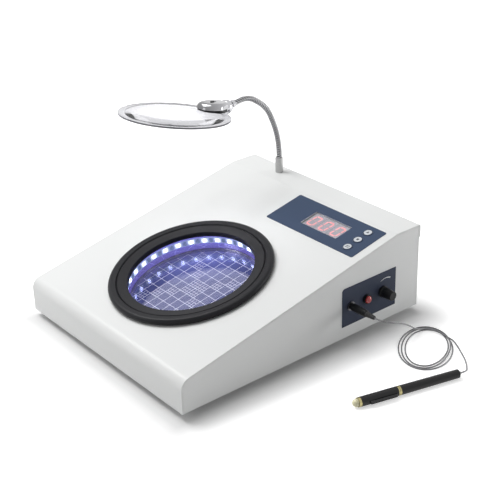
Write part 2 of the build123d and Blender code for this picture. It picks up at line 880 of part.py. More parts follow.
with BuildPart() as panel_nuts:
    turn(jack_face, ring_outline(jack_bush_radius + nut_clearance, jack_nut_radius, 0, jack_bush_proud))
    turn(
        button_face,
        ring_outline(
            button_barrel_radius + nut_clearance,
            button_nut_radius,
            -overlay_thickness - sheet - nut_thickness,
            -overlay_thickness - sheet,
        ),
    )
    with BuildSketch(knob_face):
        RegularPolygon(nut_across_flats / 2, 6, major_radius=False)
        Circle(pot_bush_radius + nut_clearance, mode=Mode.SUBTRACT)
    extrude(amount=nut_thickness)
save(panel_nuts.part, "panel_nuts")

knob_low = knob_floor_gap
knob_high = knob_low + knob_length
shaft_top = knob_high - 2.5
with BuildPart() as pot_shaft:
    turn(knob_face, ring_outline(0, shaft_radius, 0.2 + pot_shoulder - pot_body_depth / 2, shaft_top))
save(pot_shaft.part, "pot_shaft")

flute_radius = 1.1
with BuildPart() as brightness_knob:
    knob_outline = [
        (0, knob_low),
        (knob_base_radius, knob_low),
        (knob_base_radius, knob_low + 2.5),
        (knob_base_radius - 0.5, knob_low + 3.0),
        (knob_top_radius, knob_high - 0.6),
        (knob_top_radius - 0.6, knob_high),
        (0, knob_high),
    ]
    turn(knob_face, knob_outline)
    with BuildSketch(knob_face.offset(knob_low + 3.4)):
        with PolarLocations(knob_base_radius + 0.1, knob_flutes):
            Circle(flute_radius)
    extrude(amount=knob_length, taper=2.0, mode=Mode.SUBTRACT)
    turn(
        knob_face,
        ring_outline(0, knob_recess_radius, knob_low, knob_low + knob_recess_depth),
        mode=Mode.SUBTRACT,
    )
    turn(
        knob_face,
        ring_outline(0, shaft_radius + shaft_clearance, knob_low, shaft_top + 0.1),
        mode=Mode.SUBTRACT,
    )
save(brightness_knob.part, "brightness_knob")

# ---------------------------------------------------------------- rear fittings

inlet_face = rear_plane(inlet_x, fitting_z, rear_panel_face + inlet_flange_thickness)
cavity_floor = inlet_face.offset(-inlet_cavity_depth)
with BuildPart() as power_inlet:
    with BuildSketch(rear_plane(inlet_x, fitting_z)):
        SlotOverall(inlet_flange_width, inlet_flange_height * 0.6)
        RectangleRounded(inlet_body_width + 6, inlet_flange_height, 2)
        with GridLocations(inlet_flange_width - 10, 1, 2, 1):
            Circle(screw_hole_radius, mode=Mode.SUBTRACT)
    extrude(amount=inlet_flange_thickness)
    add_block(rear_plane(inlet_x, fitting_z), inlet_body_width, inlet_body_height, -inlet_body_depth)
    with BuildSketch(inlet_face) as cavity:
        Rectangle(inlet_cavity_width, inlet_cavity_height)
        chamfer(cavity.vertices().group_by(Axis.Y)[-1], 4.0)
    extrude(amount=-inlet_cavity_depth, mode=Mode.SUBTRACT)
save(power_inlet.part, "power_inlet")

with BuildPart() as inlet_pins:
    with BuildSketch(cavity_floor):
        with Locations((-inlet_pin_spread, -1.5), (inlet_pin_spread, -1.5), (0, 2.5)):
            Rectangle(2.0, 4.0)
    extrude(amount=inlet_pin_length)
save(inlet_pins.part, "inlet_pins")

rocker_face = rear_plane(rocker_x, fitting_z, rear_panel_face + rocker_frame_proud)
rocker_pivot = rear_plane(rocker_x, fitting_z, rear_panel_face - 1.0)
pin_reach = 0.8
with BuildPart() as rocker_frame:
    with BuildSketch(rear_plane(rocker_x, fitting_z)):
        RectangleRounded(rocker_frame_width, rocker_frame_height, 1.0)
    extrude(amount=rocker_frame_proud)
    add_block(
        rear_plane(rocker_x, fitting_z),
        rocker_frame_width - 2 * rocker_frame_lip,
        rocker_frame_height - 2 * rocker_frame_lip,
        -rocker_body_depth,
    )
    add_block(
        rocker_face,
        rocker_cavity_width,
        rocker_cavity_height,
        -rocker_body_depth,
        mode=Mode.SUBTRACT,
    )
    with BuildSketch(Plane.YZ.offset(rocker_x)):
        with Locations((rocker_pivot.origin.Y, fitting_z)):
            Circle(rocker_pin_radius + 0.05)
    extrude(amount=rocker_cavity_width / 2 + pin_reach + 0.1, both=True, mode=Mode.SUBTRACT)
save(rocker_frame.part, "rocker_frame")

paddle_half = 7.3
paddle_width = rocker_cavity_width - 2 * rocker_clearance
with BuildPart() as rocker_paddle:
    tilted = Plane(
        origin=(rocker_x, rocker_pivot.origin.Y, fitting_z),
        x_dir=(0, cos(radians(rocker_tilt)), sin(radians(rocker_tilt))),
        z_dir=(1, 0, 0),
    )
    with BuildSketch(tilted):
        with BuildLine():
            Polyline(
                (3.2, -paddle_half),
                (2.0, 0),
                (3.2, paddle_half),
                (-0.6, paddle_half),
                (-3.4, 0),
                (-0.6, -paddle_half),
                close=True,
            )
        make_face()
    extrude(amount=paddle_width / 2, both=True)
    with BuildSketch(tilted):
        Circle(rocker_pin_radius)
    extrude(amount=rocker_cavity_width / 2 + pin_reach, both=True)
save(rocker_paddle.part, "rocker_paddle")

# ---------------------------------------------------------------- magnifier

neck_base = (post_y, case_top + post_height)


def heading_plane(place, heading):
    """The plane across the neck at a (y, z) place, for a lean from upright in degrees."""
    lean = radians(heading)
    return Plane(origin=(post_x, *place), x_dir=(1, 0, 0), z_dir=(0, -sin(lean), cos(lean)))


def add_socket(plane):
    """Cut the cup that holds the next stretch's ball."""
    with Locations(plane):
        Sphere(ball_radius + ball_clearance, mode=Mode.SUBTRACT)


def add_ball_end(plane):
    """Add the ball and the cone that start a stretch."""
    with Locations(plane):
        Sphere(ball_radius)
    throat = 0.8 * ball_throat_radius
    cone_outline = [(0, 0), (ball_throat_radius, throat), (neck_radius, ball_lead), (0, ball_lead)]
    turn(plane, cone_outline)


with BuildPart() as neck_post:
    post_foot = heading_plane((post_y, case_top), 0)
    post_outline = [
        (0, -post_shank_length),
        (post_shank_radius, -post_shank_length),
        (post_shank_radius, 0),
        (post_radius, 0),
        (post_radius, post_height - 1.0),
        (post_radius - 0.6, post_height),
        (0, post_height),
    ]
    turn(post_foot, post_outline)
    add_socket(heading_plane(neck_base, 0))
save(neck_post.part, "neck_post")

with BuildPart() as post_nut:
    with BuildSketch(post_foot.offset(-sheet)):
        RegularPolygon(post_nut_across_flats / 2, 6, major_radius=False)
        Circle(post_shank_radius + nut_clearance, mode=Mode.SUBTRACT)
    extrude(amount=-post_nut_thickness)
save(post_nut.part, "post_nut")

ring_length = ring_pitch - ring_gap
place = neck_base
heading = 0.0
for stretch_name, bend_length, bend_angle in neck_bends:
    start = heading_plane(place, heading)
    bend_radius = bend_length / radians(bend_angle)
    with BuildPart() as stretch:
        with BuildLine(Plane.YZ.offset(post_x)) as centreline:
            lead = start.from_local_coords((0, 0, ball_lead))
            ahead = (start.z_dir.Y, start.z_dir.Z)
            bend = JernArc((lead.Y, lead.Z), ahead, bend_radius, bend_angle)
        arc_end = bend @ 1
        heading = heading + bend_angle
        end = heading_plane((arc_end.Y, arc_end.Z), heading)
        with BuildSketch(start.offset(ball_lead)):
            Circle(neck_core_radius)
        sweep(path=centreline.line)
        add_ball_end(start)
        ring_count = int(bend_length // ring_pitch)
        for index in range(ring_count):
            share = (index + 0.5) / ring_count
            spot = bend @ share
            across = heading_plane((spot.Y, spot.Z), heading - bend_angle * (1 - share))
            ring_profile = [
                (0, -ring_length / 2),
                (ring_root_radius, -ring_length / 2),
                (neck_radius, -ring_length / 6),
                (neck_radius, ring_length / 6),
                (ring_root_radius, ring_length / 2),
                (0, ring_length / 2),
            ]
            turn(across, ring_profile)
        turn(end, ring_outline(0, neck_radius, -0.2, socket_length))
        add_socket(end.offset(socket_length))
    save(stretch.part, stretch_name)
    tip = end.offset(socket_length).origin
    place = (tip.Y, tip.Z)

neck_end = heading_plane(place, heading)
collar_end = ball_lead + collar_length
drum_distance = collar_end + drum_radius - 0.6
drum_centre = neck_end.from_local_coords((0, 0, drum_distance))
roll = radians(lens_roll)
pitch = radians(lens_pitch)
lens_plane = Plane(
    origin=(post_x, drum_centre.Y - lens_beyond_drum, drum_centre.Z + lens_above_drum),
    x_dir=(cos(roll), 0, sin(roll)),
    z_dir=Vector(cos(roll), 0, sin(roll)).cross(Vector(0, cos(pitch), -sin(pitch))),
)
drum_local = lens_plane.to_local_coords(drum_centre)
spigot_length = 4.0
spigot_radius = 3.0

with BuildPart() as neck_tip:
    add_ball_end(neck_end)
    collar_outline = [
        (0, ball_lead - 0.2),
        (neck_radius, ball_lead - 0.2),
        (neck_collar_radius, ball_lead + 0.8),
        (neck_collar_radius, collar_end),
        (spigot_radius, collar_end),
        (spigot_radius, collar_end + spigot_length),
        (0, collar_end + spigot_length),
    ]
    turn(neck_end, collar_outline)
save(neck_tip.part, "neck_tip")

lens_top = lens_flange_thickness / 2
bulge_radius = lens_radius - lens_flange_width


def lens_profile(swell):
    """Draw half the lens's section, grown by a gap."""
    half_out, half_up = dome_middle(bulge_radius, lens_top_rise)
    half_down = dome_middle(bulge_radius, lens_bottom_rise)[1]
    c1 = Line((0, -lens_top - lens_bottom_rise - swell), (0, lens_top + lens_top_rise + swell))
    c2 = ThreePointArc(
        c1 @ 1,
        (half_out, lens_top + half_up + swell),
        (bulge_radius, lens_top + swell),
    )
    c3 = Line(c2 @ 1, (lens_radius + swell, lens_top + swell))
    c4 = Line(c3 @ 1, (lens_radius + swell, -lens_top - swell))
    c5 = Line(c4 @ 1, (bulge_radius, -lens_top - swell))
    ThreePointArc(
        c5 @ 1,
        (half_out, -lens_top - half_down - swell),
        c1 @ 0,
    )


lens_section = Plane(origin=lens_plane.origin, x_dir=lens_plane.x_dir, z_dir=-lens_plane.y_dir)
lens_axis = Axis(lens_plane.origin, lens_plane.z_dir)

with BuildPart() as lens:
    with BuildSketch(lens_section):
        with BuildLine():
            lens_profile(0)
        make_face()
    revolve(axis=lens_axis)
save(lens.part, "lens")


def head_outline(side_inset):
    """Draw the head's leaf outline in the lens's plane."""
    half = head_half_width - side_inset
    front = (0, head_front_s + side_inset)
    neck_s = drum_local.Y - 0.6 * drum_radius
    right = Spline(
        front,
        (0.8 * half, head_front_s + side_inset + 5.0),
        (half, head_wide_s),
        (0.62 * half, neck_s),
        tangents=[(1, 0), (-0.55, 1)],
    )
    mirror(right, about=Plane.YZ)
    Line((0.62 * half, neck_s), (-0.62 * half, neck_s))


with BuildPart() as head_lower_shell:
    with BuildSketch(lens_plane.offset(lens_top + 0.05)):
        with BuildLine():
            head_outline(1.0)
        make_face()
    extrude(amount=head_split_height - lens_top - 0.05)
    with BuildSketch(lens_section):
        with BuildLine():
            lens_profile(0.05)
        make_face()
    revolve(axis=lens_axis, mode=Mode.SUBTRACT)
    with Locations(Plane(origin=drum_centre, z_dir=lens_plane.z_dir)):
        Sphere(drum_radius + 0.05, mode=Mode.SUBTRACT)
save(head_lower_shell.part, "head_lower_shell")

switch_s = head_wide_s + 3.0
with BuildPart() as head_upper_shell:
    for side_inset, share in ((0.0, 0.0), (0.9, 0.5), (3.0, 0.85), (6.0, 1.0)):
        with BuildSketch(lens_plane.offset(head_split_height + share * head_crown)):
            with BuildLine():
                head_outline(side_inset)
            make_face()
    loft()
    with Locations(Plane(origin=drum_centre, z_dir=lens_plane.z_dir)):
        Sphere(drum_radius)
    spigot_bore = ring_outline(0, spigot_radius + nut_clearance, 0, collar_end + spigot_length)
    turn(neck_end, spigot_bore, mode=Mode.SUBTRACT)
    turn(neck_end, ring_outline(0, drum_radius, 0, collar_end), mode=Mode.SUBTRACT)
    slot_plane = lens_plane.offset(head_split_height + head_crown - 1.2)
    with BuildSketch(slot_plane):
        with Locations((0, switch_s)):
            SlotOverall(switch_slot_length, switch_slot_width, rotation=90)
    extrude(amount=3.0, mode=Mode.SUBTRACT)
save(head_upper_shell.part, "head_upper_shell")

slider_length = switch_slot_length - switch_travel - 2 * rocker_clearance
with BuildPart() as lamp_switch:
    with BuildSketch(slot_plane.offset(0.1)):
        with Locations((0, switch_s - switch_travel / 2)):
            SlotOverall(slider_length, switch_slot_width - 2 * rocker_clearance, rotation=90)
    extrude(amount=2.0)
save(lamp_switch.part, "lamp_switch")

# ---------------------------------------------------------------- pen and its lead

plug_start = jack_bush_proud + plug_gap
plug_face = jack_face.offset(plug_start)
with BuildPart() as plug_contacts:
    contact_outline = [
        (0, -pin_length),
        (0.8, -pin_length),
        (pin_radius, -pin_length + 1.6),
        (pin_radius, 0),
        (0, 0),
    ]
    turn(plug_face, contact_outline)
save(plug_contacts.part, "plug_contacts")

with BuildPart() as plug_handle:
    handle_outline = [
        (0, 0),
        (plug_radius - 0.7, 0),
        (plug_radius - 0.7, 2.0),
        (plug_radius, 2.6),
        (plug_radius, plug_length * 0.55),
        (plug_radius - 0.5, plug_length - 0.8),
        (plug_radius - 1.2, plug_length),
        (0, plug_length),
    ]
    turn(plug_face, handle_outline)
save(plug_handle.part, "plug_handle")

boot_rib_count = 4
boot_outline = [(0, 0)]
rib_pitch = boot_length / boot_rib_count
for index in range(boot_rib_count):
    rib_radius = boot_radius - (boot_radius - boot_end_radius) * index / (boot_rib_count - 1)
    boot_outline.append((rib_radius, index * rib_pitch))
    boot_outline.append((rib_radius, (index + 0.6) * rib_pitch))
    boot_outline.append((rib_radius - 0.6, (index + 0.6) * rib_pitch))
    boot_outline.append((rib_radius - 0.6, (index + 1) * rib_pitch))
boot_outline.append((0, boot_length))
with BuildPart() as plug_boot:
    turn(plug_face.offset(plug_length), boot_outline)
save(plug_boot.part, "plug_boot")

boot_end = plug_face.offset(plug_length + boot_length).origin
floor_z = cord_radius + floor_clearance
lead_points = [
    (boot_end.X, boot_end.Y, boot_end.Z),
    (boot_end.X + 7.5, boot_end.Y, boot_end.Z),
    (boot_end.X + 14.5, boot_end.Y + 7.5, 45.0),
    (205.0, 84.0, 40.0),
    (203.5, 98.0, 32.5),
    (199.0, 112.0, 22.0),
    (193.0, 125.0, 11.5),
    (189.0, 136.5, 4.5),
    (190.0, 147.0, floor_z + 0.6),
    (197.0, 153.0, floor_z),
    (204.5, 154.0, floor_z),
]

pen_z = pen_front_radius + floor_clearance
pen_length = ((pen_point[0] - pen_rear[0]) ** 2 + (pen_point[1] - pen_rear[1]) ** 2) ** 0.5
pen_dir = ((pen_point[0] - pen_rear[0]) / pen_length, (pen_point[1] - pen_rear[1]) / pen_length)
pen = Plane(
    origin=(pen_rear[0], pen_rear[1], pen_z),
    x_dir=(-pen_dir[1], pen_dir[0], 0),
    z_dir=(pen_dir[0], pen_dir[1], 0),
)
bush_end = pen.from_local_coords((0, 0, -pen_bush_proud))
tail_points = [
    (222.0, 149.5, floor_z),
    (230.5, 149.0, floor_z),
    (241.0, 144.5, floor_z),
    (253.0, 137.5, floor_z),
    (265.0, 130.5, floor_z + 0.2),
    (274.5, 124.0, floor_z + 1.2),
    (281.5, 116.5, floor_z + 2.6),
    (bush_end.X - 7.5 * pen_dir[0], bush_end.Y - 7.5 * pen_dir[1], bush_end.Z - 0.3),
    (bush_end.X, bush_end.Y, bush_end.Z),
]


def corner_radii(points):
    """The largest radii that the runs on either side of each corner leave room for."""
    radii = []
    for before, corner, after in zip(points, points[1:], points[2:]):
        run_in = Vector(*corner) - Vector(*before)
        run_out = Vector(*after) - Vector(*corner)
        half_turn = radians(run_in.get_angle(run_out)) / 2
        radii.append(0.45 * min(run_in.length, run_out.length) / tan(half_turn))
    return radii


for cord_name, cord_points in (("pen_cord_lead", lead_points), ("pen_cord_tail", tail_points)):
    radii = corner_radii(cord_points)
    with BuildPart() as cord:
        with BuildLine() as route:
            FilletPolyline(*cord_points, radius=radii)
        centre = route.wires()[0]
        with BuildSketch(Plane(origin=centre @ 0, z_dir=centre % 0)) as section:
            Circle(cord_radius)
        sweep(path=centre)
    expected_volume = section.sketch.area * centre.length
    print(cord_name, "length", round(centre.length, 1), "radii", [round(r, 1) for r in radii])
    print(cord_name, "volume", round(cord.part.volume, 1), "expected", round(expected_volume, 1))
    save(cord.part, cord_name)

coil_plane = Plane.XY.move(Location((coil_x, coil_y, floor_clearance), (0, 0, coil_turn)))
with BuildPart() as pen_cord_coil:
    with BuildSketch(coil_plane):
        Ellipse(coil_length / 2, coil_width / 2)
        Ellipse(coil_length / 2 - coil_band, coil_width / 2 - coil_band, mode=Mode.SUBTRACT)
    extrude(amount=coil_height)
save(pen_cord_coil.part, "pen_cord_coil")

band_end = pen_band_at + pen_band_length
body_end = pen_length - pen_tip_length
bore_radius = pen_tip_radius + pen_tip_clearance
bore_floor = body_end - pen_tip_stem - pen_tip_travel - 0.3
ring_seat_radius = pen_front_radius - 0.6

with BuildPart() as pen_rear_barrel:
    rear_outline = [
        (0, pen_bush_depth),
        (pen_bush_radius, pen_bush_depth),
        (pen_bush_radius, 0),
        (pen_rear_radius - 0.8, 0),
        (pen_rear_radius, 0.8),
        (pen_front_radius - 0.1, pen_band_at),
        (pen_spigot_radius, pen_band_at),
        (pen_spigot_radius, band_end + pen_spigot_length),
        (0, band_end + pen_spigot_length),
    ]
    turn(pen, rear_outline)
save(pen_rear_barrel.part, "pen_rear_barrel")

with BuildPart() as pen_front_barrel:
    front_outline = [
        (0, band_end + pen_spigot_length),
        (pen_spigot_radius, band_end + pen_spigot_length),
        (pen_spigot_radius, band_end),
        (pen_front_radius, band_end),
        (pen_front_radius, body_end - pen_tip_ring_length),
        (ring_seat_radius, body_end - pen_tip_ring_length),
        (ring_seat_radius, body_end),
        (bore_radius, body_end),
        (bore_radius, bore_floor),
        (0, bore_floor),
    ]
    turn(pen, front_outline)
save(pen_front_barrel.part, "pen_front_barrel")

with BuildPart() as pen_rings:
    for low, high in ((0, 0.45), (0.55, 1.0)):
        turn(
            pen,
            ring_outline(
                pen_spigot_radius,
                pen_front_radius - 0.05,
                pen_band_at + low * pen_band_length,
                pen_band_at + high * pen_band_length,
            ),
        )
    turn(
        pen,
        ring_outline(ring_seat_radius, pen_front_radius - 0.1, body_end - pen_tip_ring_length, body_end),
    )
save(pen_rings.part, "pen_rings")

with BuildPart() as pen_tip:
    with BuildSketch(Plane(origin=pen.origin, x_dir=pen.x_dir, z_dir=-pen.y_dir)):
        with BuildLine():
            t1 = Line((0, body_end - pen_tip_stem), (pen_tip_radius, body_end - pen_tip_stem))
            t2 = Line(t1 @ 1, (pen_tip_radius, pen_length - pen_dome_rise))
            half_out, half_up = dome_middle(pen_tip_radius, pen_dome_rise)
            t3 = ThreePointArc(
                t2 @ 1,
                (half_out, pen_length - pen_dome_rise + half_up),
                (0, pen_length),
            )
            Line(t3 @ 1, t1 @ 0)
        make_face()
    revolve(axis=Axis(pen.origin, pen.z_dir))
save(pen_tip.part, "pen_tip")

with BuildPart() as pen_end_bush:
    bush_outline = [
        (0, -pen_bush_proud),
        (cord_radius + 0.5, -pen_bush_proud),
        (pen_bush_radius, 0),
        (pen_bush_radius, pen_bush_depth),
        (0, pen_bush_depth),
    ]
    turn(pen, bush_outline)
save(pen_end_bush.part, "pen_end_bush")

clip_low = pen_front_radius + clip_gap
with BuildPart() as pen_clip:
    with BuildSketch(Plane(origin=pen.origin, x_dir=pen.x_dir, z_dir=-pen.y_dir)):
        with BuildLine():
            Polyline(
                (clip_low, clip_start),
                (clip_low + clip_thickness, clip_start + 1.0),
                (clip_low + clip_thickness, clip_start + clip_length - 1.0),
                (clip_low + 0.4 * clip_thickness, clip_start + clip_length),
                (pen_front_radius - 0.2, clip_start + clip_length),
                (pen_front_radius - 0.2, clip_start + clip_length - clip_root),
                (clip_low, clip_start + clip_length - clip_root),
                close=True,
            )
        make_face()
    extrude(amount=clip_width / 2, both=True)
    turn(pen, ring_outline(0, pen_front_radius, clip_start, clip_start + clip_length + 1), mode=Mode.SUBTRACT)
save(pen_clip.part, "pen_clip")

print("neck ends at", [round(v, 1) for v in neck_end.origin], "leaning", round(heading, 1))
print("drum centre", [round(v, 3) for v in drum_centre], "lens", [round(v, 3) for v in lens_plane.origin])
print("deck slope", round(degrees(deck_slope), 3), "pen length", round(pen_length, 1))
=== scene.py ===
"""Looks of a bench colony counter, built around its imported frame."""

import logging
import math
from dataclasses import dataclass, field
from enum import Enum
from typing import Any, Optional, Sequence

import bmesh
import bpy
from mathutils import Matrix, Vector


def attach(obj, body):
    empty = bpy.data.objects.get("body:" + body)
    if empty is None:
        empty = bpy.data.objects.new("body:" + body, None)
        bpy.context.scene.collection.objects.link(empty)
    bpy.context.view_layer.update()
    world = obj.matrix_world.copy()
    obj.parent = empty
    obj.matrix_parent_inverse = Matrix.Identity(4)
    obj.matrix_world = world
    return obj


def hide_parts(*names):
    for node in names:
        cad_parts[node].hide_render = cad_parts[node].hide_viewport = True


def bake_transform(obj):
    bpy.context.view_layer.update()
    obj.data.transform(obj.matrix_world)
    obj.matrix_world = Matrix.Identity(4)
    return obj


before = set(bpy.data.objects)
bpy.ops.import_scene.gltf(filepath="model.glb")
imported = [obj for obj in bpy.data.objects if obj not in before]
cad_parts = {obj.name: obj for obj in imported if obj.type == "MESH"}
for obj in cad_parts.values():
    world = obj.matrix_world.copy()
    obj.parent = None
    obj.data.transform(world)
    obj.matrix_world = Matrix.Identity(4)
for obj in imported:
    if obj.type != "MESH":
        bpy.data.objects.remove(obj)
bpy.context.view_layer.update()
LOG = logging.getLogger("colony_counter")

Pair = tuple[float, float]
Triple = tuple[float, float, float]
MM = 0.001

# Kinds of input that the node groups share, each with its default
NUMBER = ("NodeSocketFloat", 1.0)
OFFSET = ("NodeSocketFloat", 0.0)
AMOUNT = ("NodeSocketInt", 1)
GEOMETRY = ("NodeSocketGeometry", None)

# Shared places of the case, in millimetres
DECK_SLOPE = math.radians(12.033)
DECK_FRONT = Vector((0.0, -175.0, 46.6))
STATION = (5.0, 127.0)
WALL_FACE = 150.5
CONTROL_Z = 47.2


class Slot(str, Enum):
    """The record's material slots, one passed along with each new piece."""

    LED = "led_white"
    STRIP = "strip_white"
    DIGIT = "digit_red"
    NECK = "neck_chrome"
    HEAD = "head_chrome"
    CORD = "cord_grey"
    KEY = "key_grey"
    OVERLAY = "overlay_slate"


class Streak(Enum):
    """The way a drawn or turned metal's fine lines run, and the way the lens's painted reflection
    streaks run.
    """

    NONE = (1.0, 1.0, 1.0)
    ALONG_X = (0.04, 1.0, 1.0)
    ALONG_Z = (1.0, 1.0, 0.04)


# Places


def on_deck(x: float, s: float, lift: float = 0.0) -> Matrix:
    """Place a piece on the sloping deck.

    Args:
        x: Place across the case, in millimetres.
        s: Place up the slope from the front face, in millimetres.
        lift: Height off the deck's sheet, in millimetres.

    Returns:
        A matrix from local millimetres to the frame's metres.
    """
    slope = Matrix.Rotation(DECK_SLOPE, 4, "X")
    place = Matrix.Translation(DECK_FRONT) @ slope @ Matrix.Translation((x, s, lift))
    return Matrix.Scale(MM, 4) @ place


def on_wall(y: float, z: float, x: float = WALL_FACE) -> Matrix:
    """Place a piece on the right wall, its local X to the back and its Z outwards.

    Args:
        y: Place along the case, in millimetres.
        z: Height over the bench, in millimetres.
        x: Place across the case, in millimetres.

    Returns:
        A matrix from local millimetres to the frame's metres.
    """
    turn = Matrix(((0, 0, 1, x), (1, 0, 0, y), (0, 1, 0, z), (0, 0, 0, 1)))
    return Matrix.Scale(MM, 4) @ turn


# Node trees


class Wiring:
    """A node tree under construction, for geometry and for shaders alike."""

    def __init__(self, tree: bpy.types.NodeTree) -> None:
        """Take the tree that the nodes go into."""
        self.tree = tree

    @classmethod
    def group(
        cls, name: str, kind: str, inputs: dict[str, tuple[str, Any]], outputs: dict[str, str]
    ) -> "Wiring":
        """Start a node group with named sockets.

        Args:
            name: The group's name.
            kind: The tree's type.
            inputs: Socket names with their type and default.
            outputs: Socket names with their type.

        Returns:
            The wiring of the new group.
        """
        wiring = cls(bpy.data.node_groups.new(name, kind))
        face = wiring.tree.interface
        for label, (socket_type, default) in inputs.items():
            socket = face.new_socket(label, in_out="INPUT", socket_type=socket_type)
            if default is not None:
                socket.default_value = default
        for label, socket_type in outputs.items():
            face.new_socket(label, in_out="OUTPUT", socket_type=socket_type)
        wiring.start = wiring.tree.nodes.new("NodeGroupInput")
        wiring.end = wiring.tree.nodes.new("NodeGroupOutput")
        return wiring

    @classmethod
    def grower(cls, name: str, **inputs: tuple[str, Any]) -> "Wiring":
        """Start a geometry tree with one result, and inputs named in capitals with spaces."""
        named = {label.replace("_", " ").title(): kind for label, kind in inputs.items()}
        return cls.group(name, "GeometryNodeTree", named, {"Geometry": "NodeSocketGeometry"})

    def add(
        self, kind: str, sockets: Optional[dict[Any, Any]] = None, **settings: Any
    ) -> bpy.types.Node:
        """Add a node, set its choices, and fill or link its inputs.

        Args:
            kind: The node's type.
            sockets: Input name or number to a value or to another node's output.
            settings: Properties of the node itself.

        Returns:
            The new node.
        """
        node = self.tree.nodes.new(kind)
        for label, value in settings.items():
            setattr(node, label, value)
        for label, value in (sockets or {}).items():
            self.feed(node.inputs[label], value)
        return node

    def feed(self, socket: bpy.types.NodeSocket, value: Any) -> None:
        """Link a socket to an output, or set its value."""
        if isinstance(value, bpy.types.NodeSocket):
            self.tree.links.new(value, socket)
        else:
            socket.default_value = value

    def math(self, operation: str, a: Any, b: Any = 0.0, c: Any = 0.0) -> bpy.types.NodeSocket:
        """Add a math node and return its output."""
        return self.add("ShaderNodeMath", {0: a, 1: b, 2: c}, operation=operation).outputs[0]

    def vector(self, operation: str, a: Any, b: Any = (0, 0, 0)) -> bpy.types.NodeSocket:
        """Add a vector math node and return its vector output."""
        return self.add("ShaderNodeVectorMath", {0: a, 1: b}, operation=operation).outputs[0]

    def scaled(self, a: Any, factor: Any) -> bpy.types.NodeSocket:
        """Scale a vector or a colour by a number."""
        sockets = {0: a, "Scale": factor}
        return self.add("ShaderNodeVectorMath", sockets, operation="SCALE").outputs[0]

    def xyz(self, x: Any = 0.0, y: Any = 0.0, z: Any = 0.0) -> bpy.types.NodeSocket:
        """Join three numbers in a vector."""
        return self.add("ShaderNodeCombineXYZ", {0: x, 1: y, 2: z}).outputs[0]

    def ramp(self, value: Any, low: float, high: float, start: float, end: float) -> Any:
        """Map a value from one range to another, held at its ends."""
        sockets = {"Value": value, 1: low, 2: high, 3: start, 4: end}
        return self.add("ShaderNodeMapRange", sockets).outputs[0]


def noise(wiring: Wiring, where: Any, scale: Any, detail: float = 2.0) -> bpy.types.NodeSocket:
    """Add a noise texture and return its factor."""
    sockets = {"Vector": where, "Scale": scale, "Detail": detail, "Roughness": 0.55}
    return wiring.add("ShaderNodeTexNoise", sockets).outputs[0]


def build_surface_group() -> bpy.types.NodeTree:
    """Build the effect that every solid finish shares.

    Returns:
        A group that mottles a colour, spreads its roughness and gives a fine grain or
        drawn lines as a height.
    """
    inputs = {
        "Color": ("NodeSocketColor", (0.5, 0.5, 0.5, 1)),
        "Shade": ("NodeSocketFloat", 0.05),
        "Mottle": ("NodeSocketFloat", 20.0),
        "Roughness": ("NodeSocketFloat", 0.4),
        "Spread": ("NodeSocketFloat", 0.05),
        "Grain": ("NodeSocketFloat", 900.0),
        "Stretch": ("NodeSocketVector", (1, 1, 1)),
    }
    outputs = {
        "Color": "NodeSocketColor", "Roughness": "NodeSocketFloat", "Height": "NodeSocketFloat",
    }
    wiring = Wiring.group("surface_grain", "ShaderNodeTree", inputs, outputs)
    given = wiring.start.outputs
    where = wiring.add("ShaderNodeTexCoord").outputs["Object"]
    patches = noise(wiring, where, given["Mottle"], 3.0)
    drawn = wiring.vector("MULTIPLY", where, given["Stretch"])
    fine = noise(wiring, drawn, given["Grain"], 2.0)
    smears = noise(wiring, where, wiring.math("MULTIPLY", given["Mottle"], 3.1), 4.0)
    both = wiring.math(
        "ADD", wiring.math("MULTIPLY", patches, 0.7), wiring.math("MULTIPLY", fine, 0.3)
    )
    change = wiring.math("MULTIPLY", wiring.math("SUBTRACT", both, 0.5), given["Shade"])
    color = wiring.scaled(given["Color"], wiring.math("ADD", change, 1.0))
    uneven = wiring.math("MULTIPLY", wiring.math("SUBTRACT", smears, 0.5), given["Spread"])
    roughness = wiring.math("ADD", given["Roughness"], uneven)
    wiring.feed(wiring.end.inputs["Color"], color)
    wiring.feed(wiring.end.inputs["Roughness"], roughness)
    wiring.feed(wiring.end.inputs["Height"], fine)
    return wiring.tree


SURFACE = build_surface_group()


# Finishes


@dataclass(frozen=True)
class PaintedFade:
    """Painted light or shade: a change of tone with the distance from a point, in millimetres."""

    centre: Triple
    near: float
    far: float
    near_tone: float
    far_tone: float

    def apply(self, wiring: Wiring, color: bpy.types.NodeSocket) -> bpy.types.NodeSocket:
        """Multiply a colour by the painted light or shade at its place."""
        where = wiring.add("ShaderNodeTexCoord").outputs["Object"]
        centre = tuple(v * MM for v in self.centre)
        apart = wiring.add("ShaderNodeVectorMath", {0: where, 1: centre}, operation="DISTANCE")
        away = apart.outputs["Value"]
        tone = wiring.ramp(away, self.near * MM, self.far * MM, self.near_tone, self.far_tone)
        return wiring.scaled(color, tone)


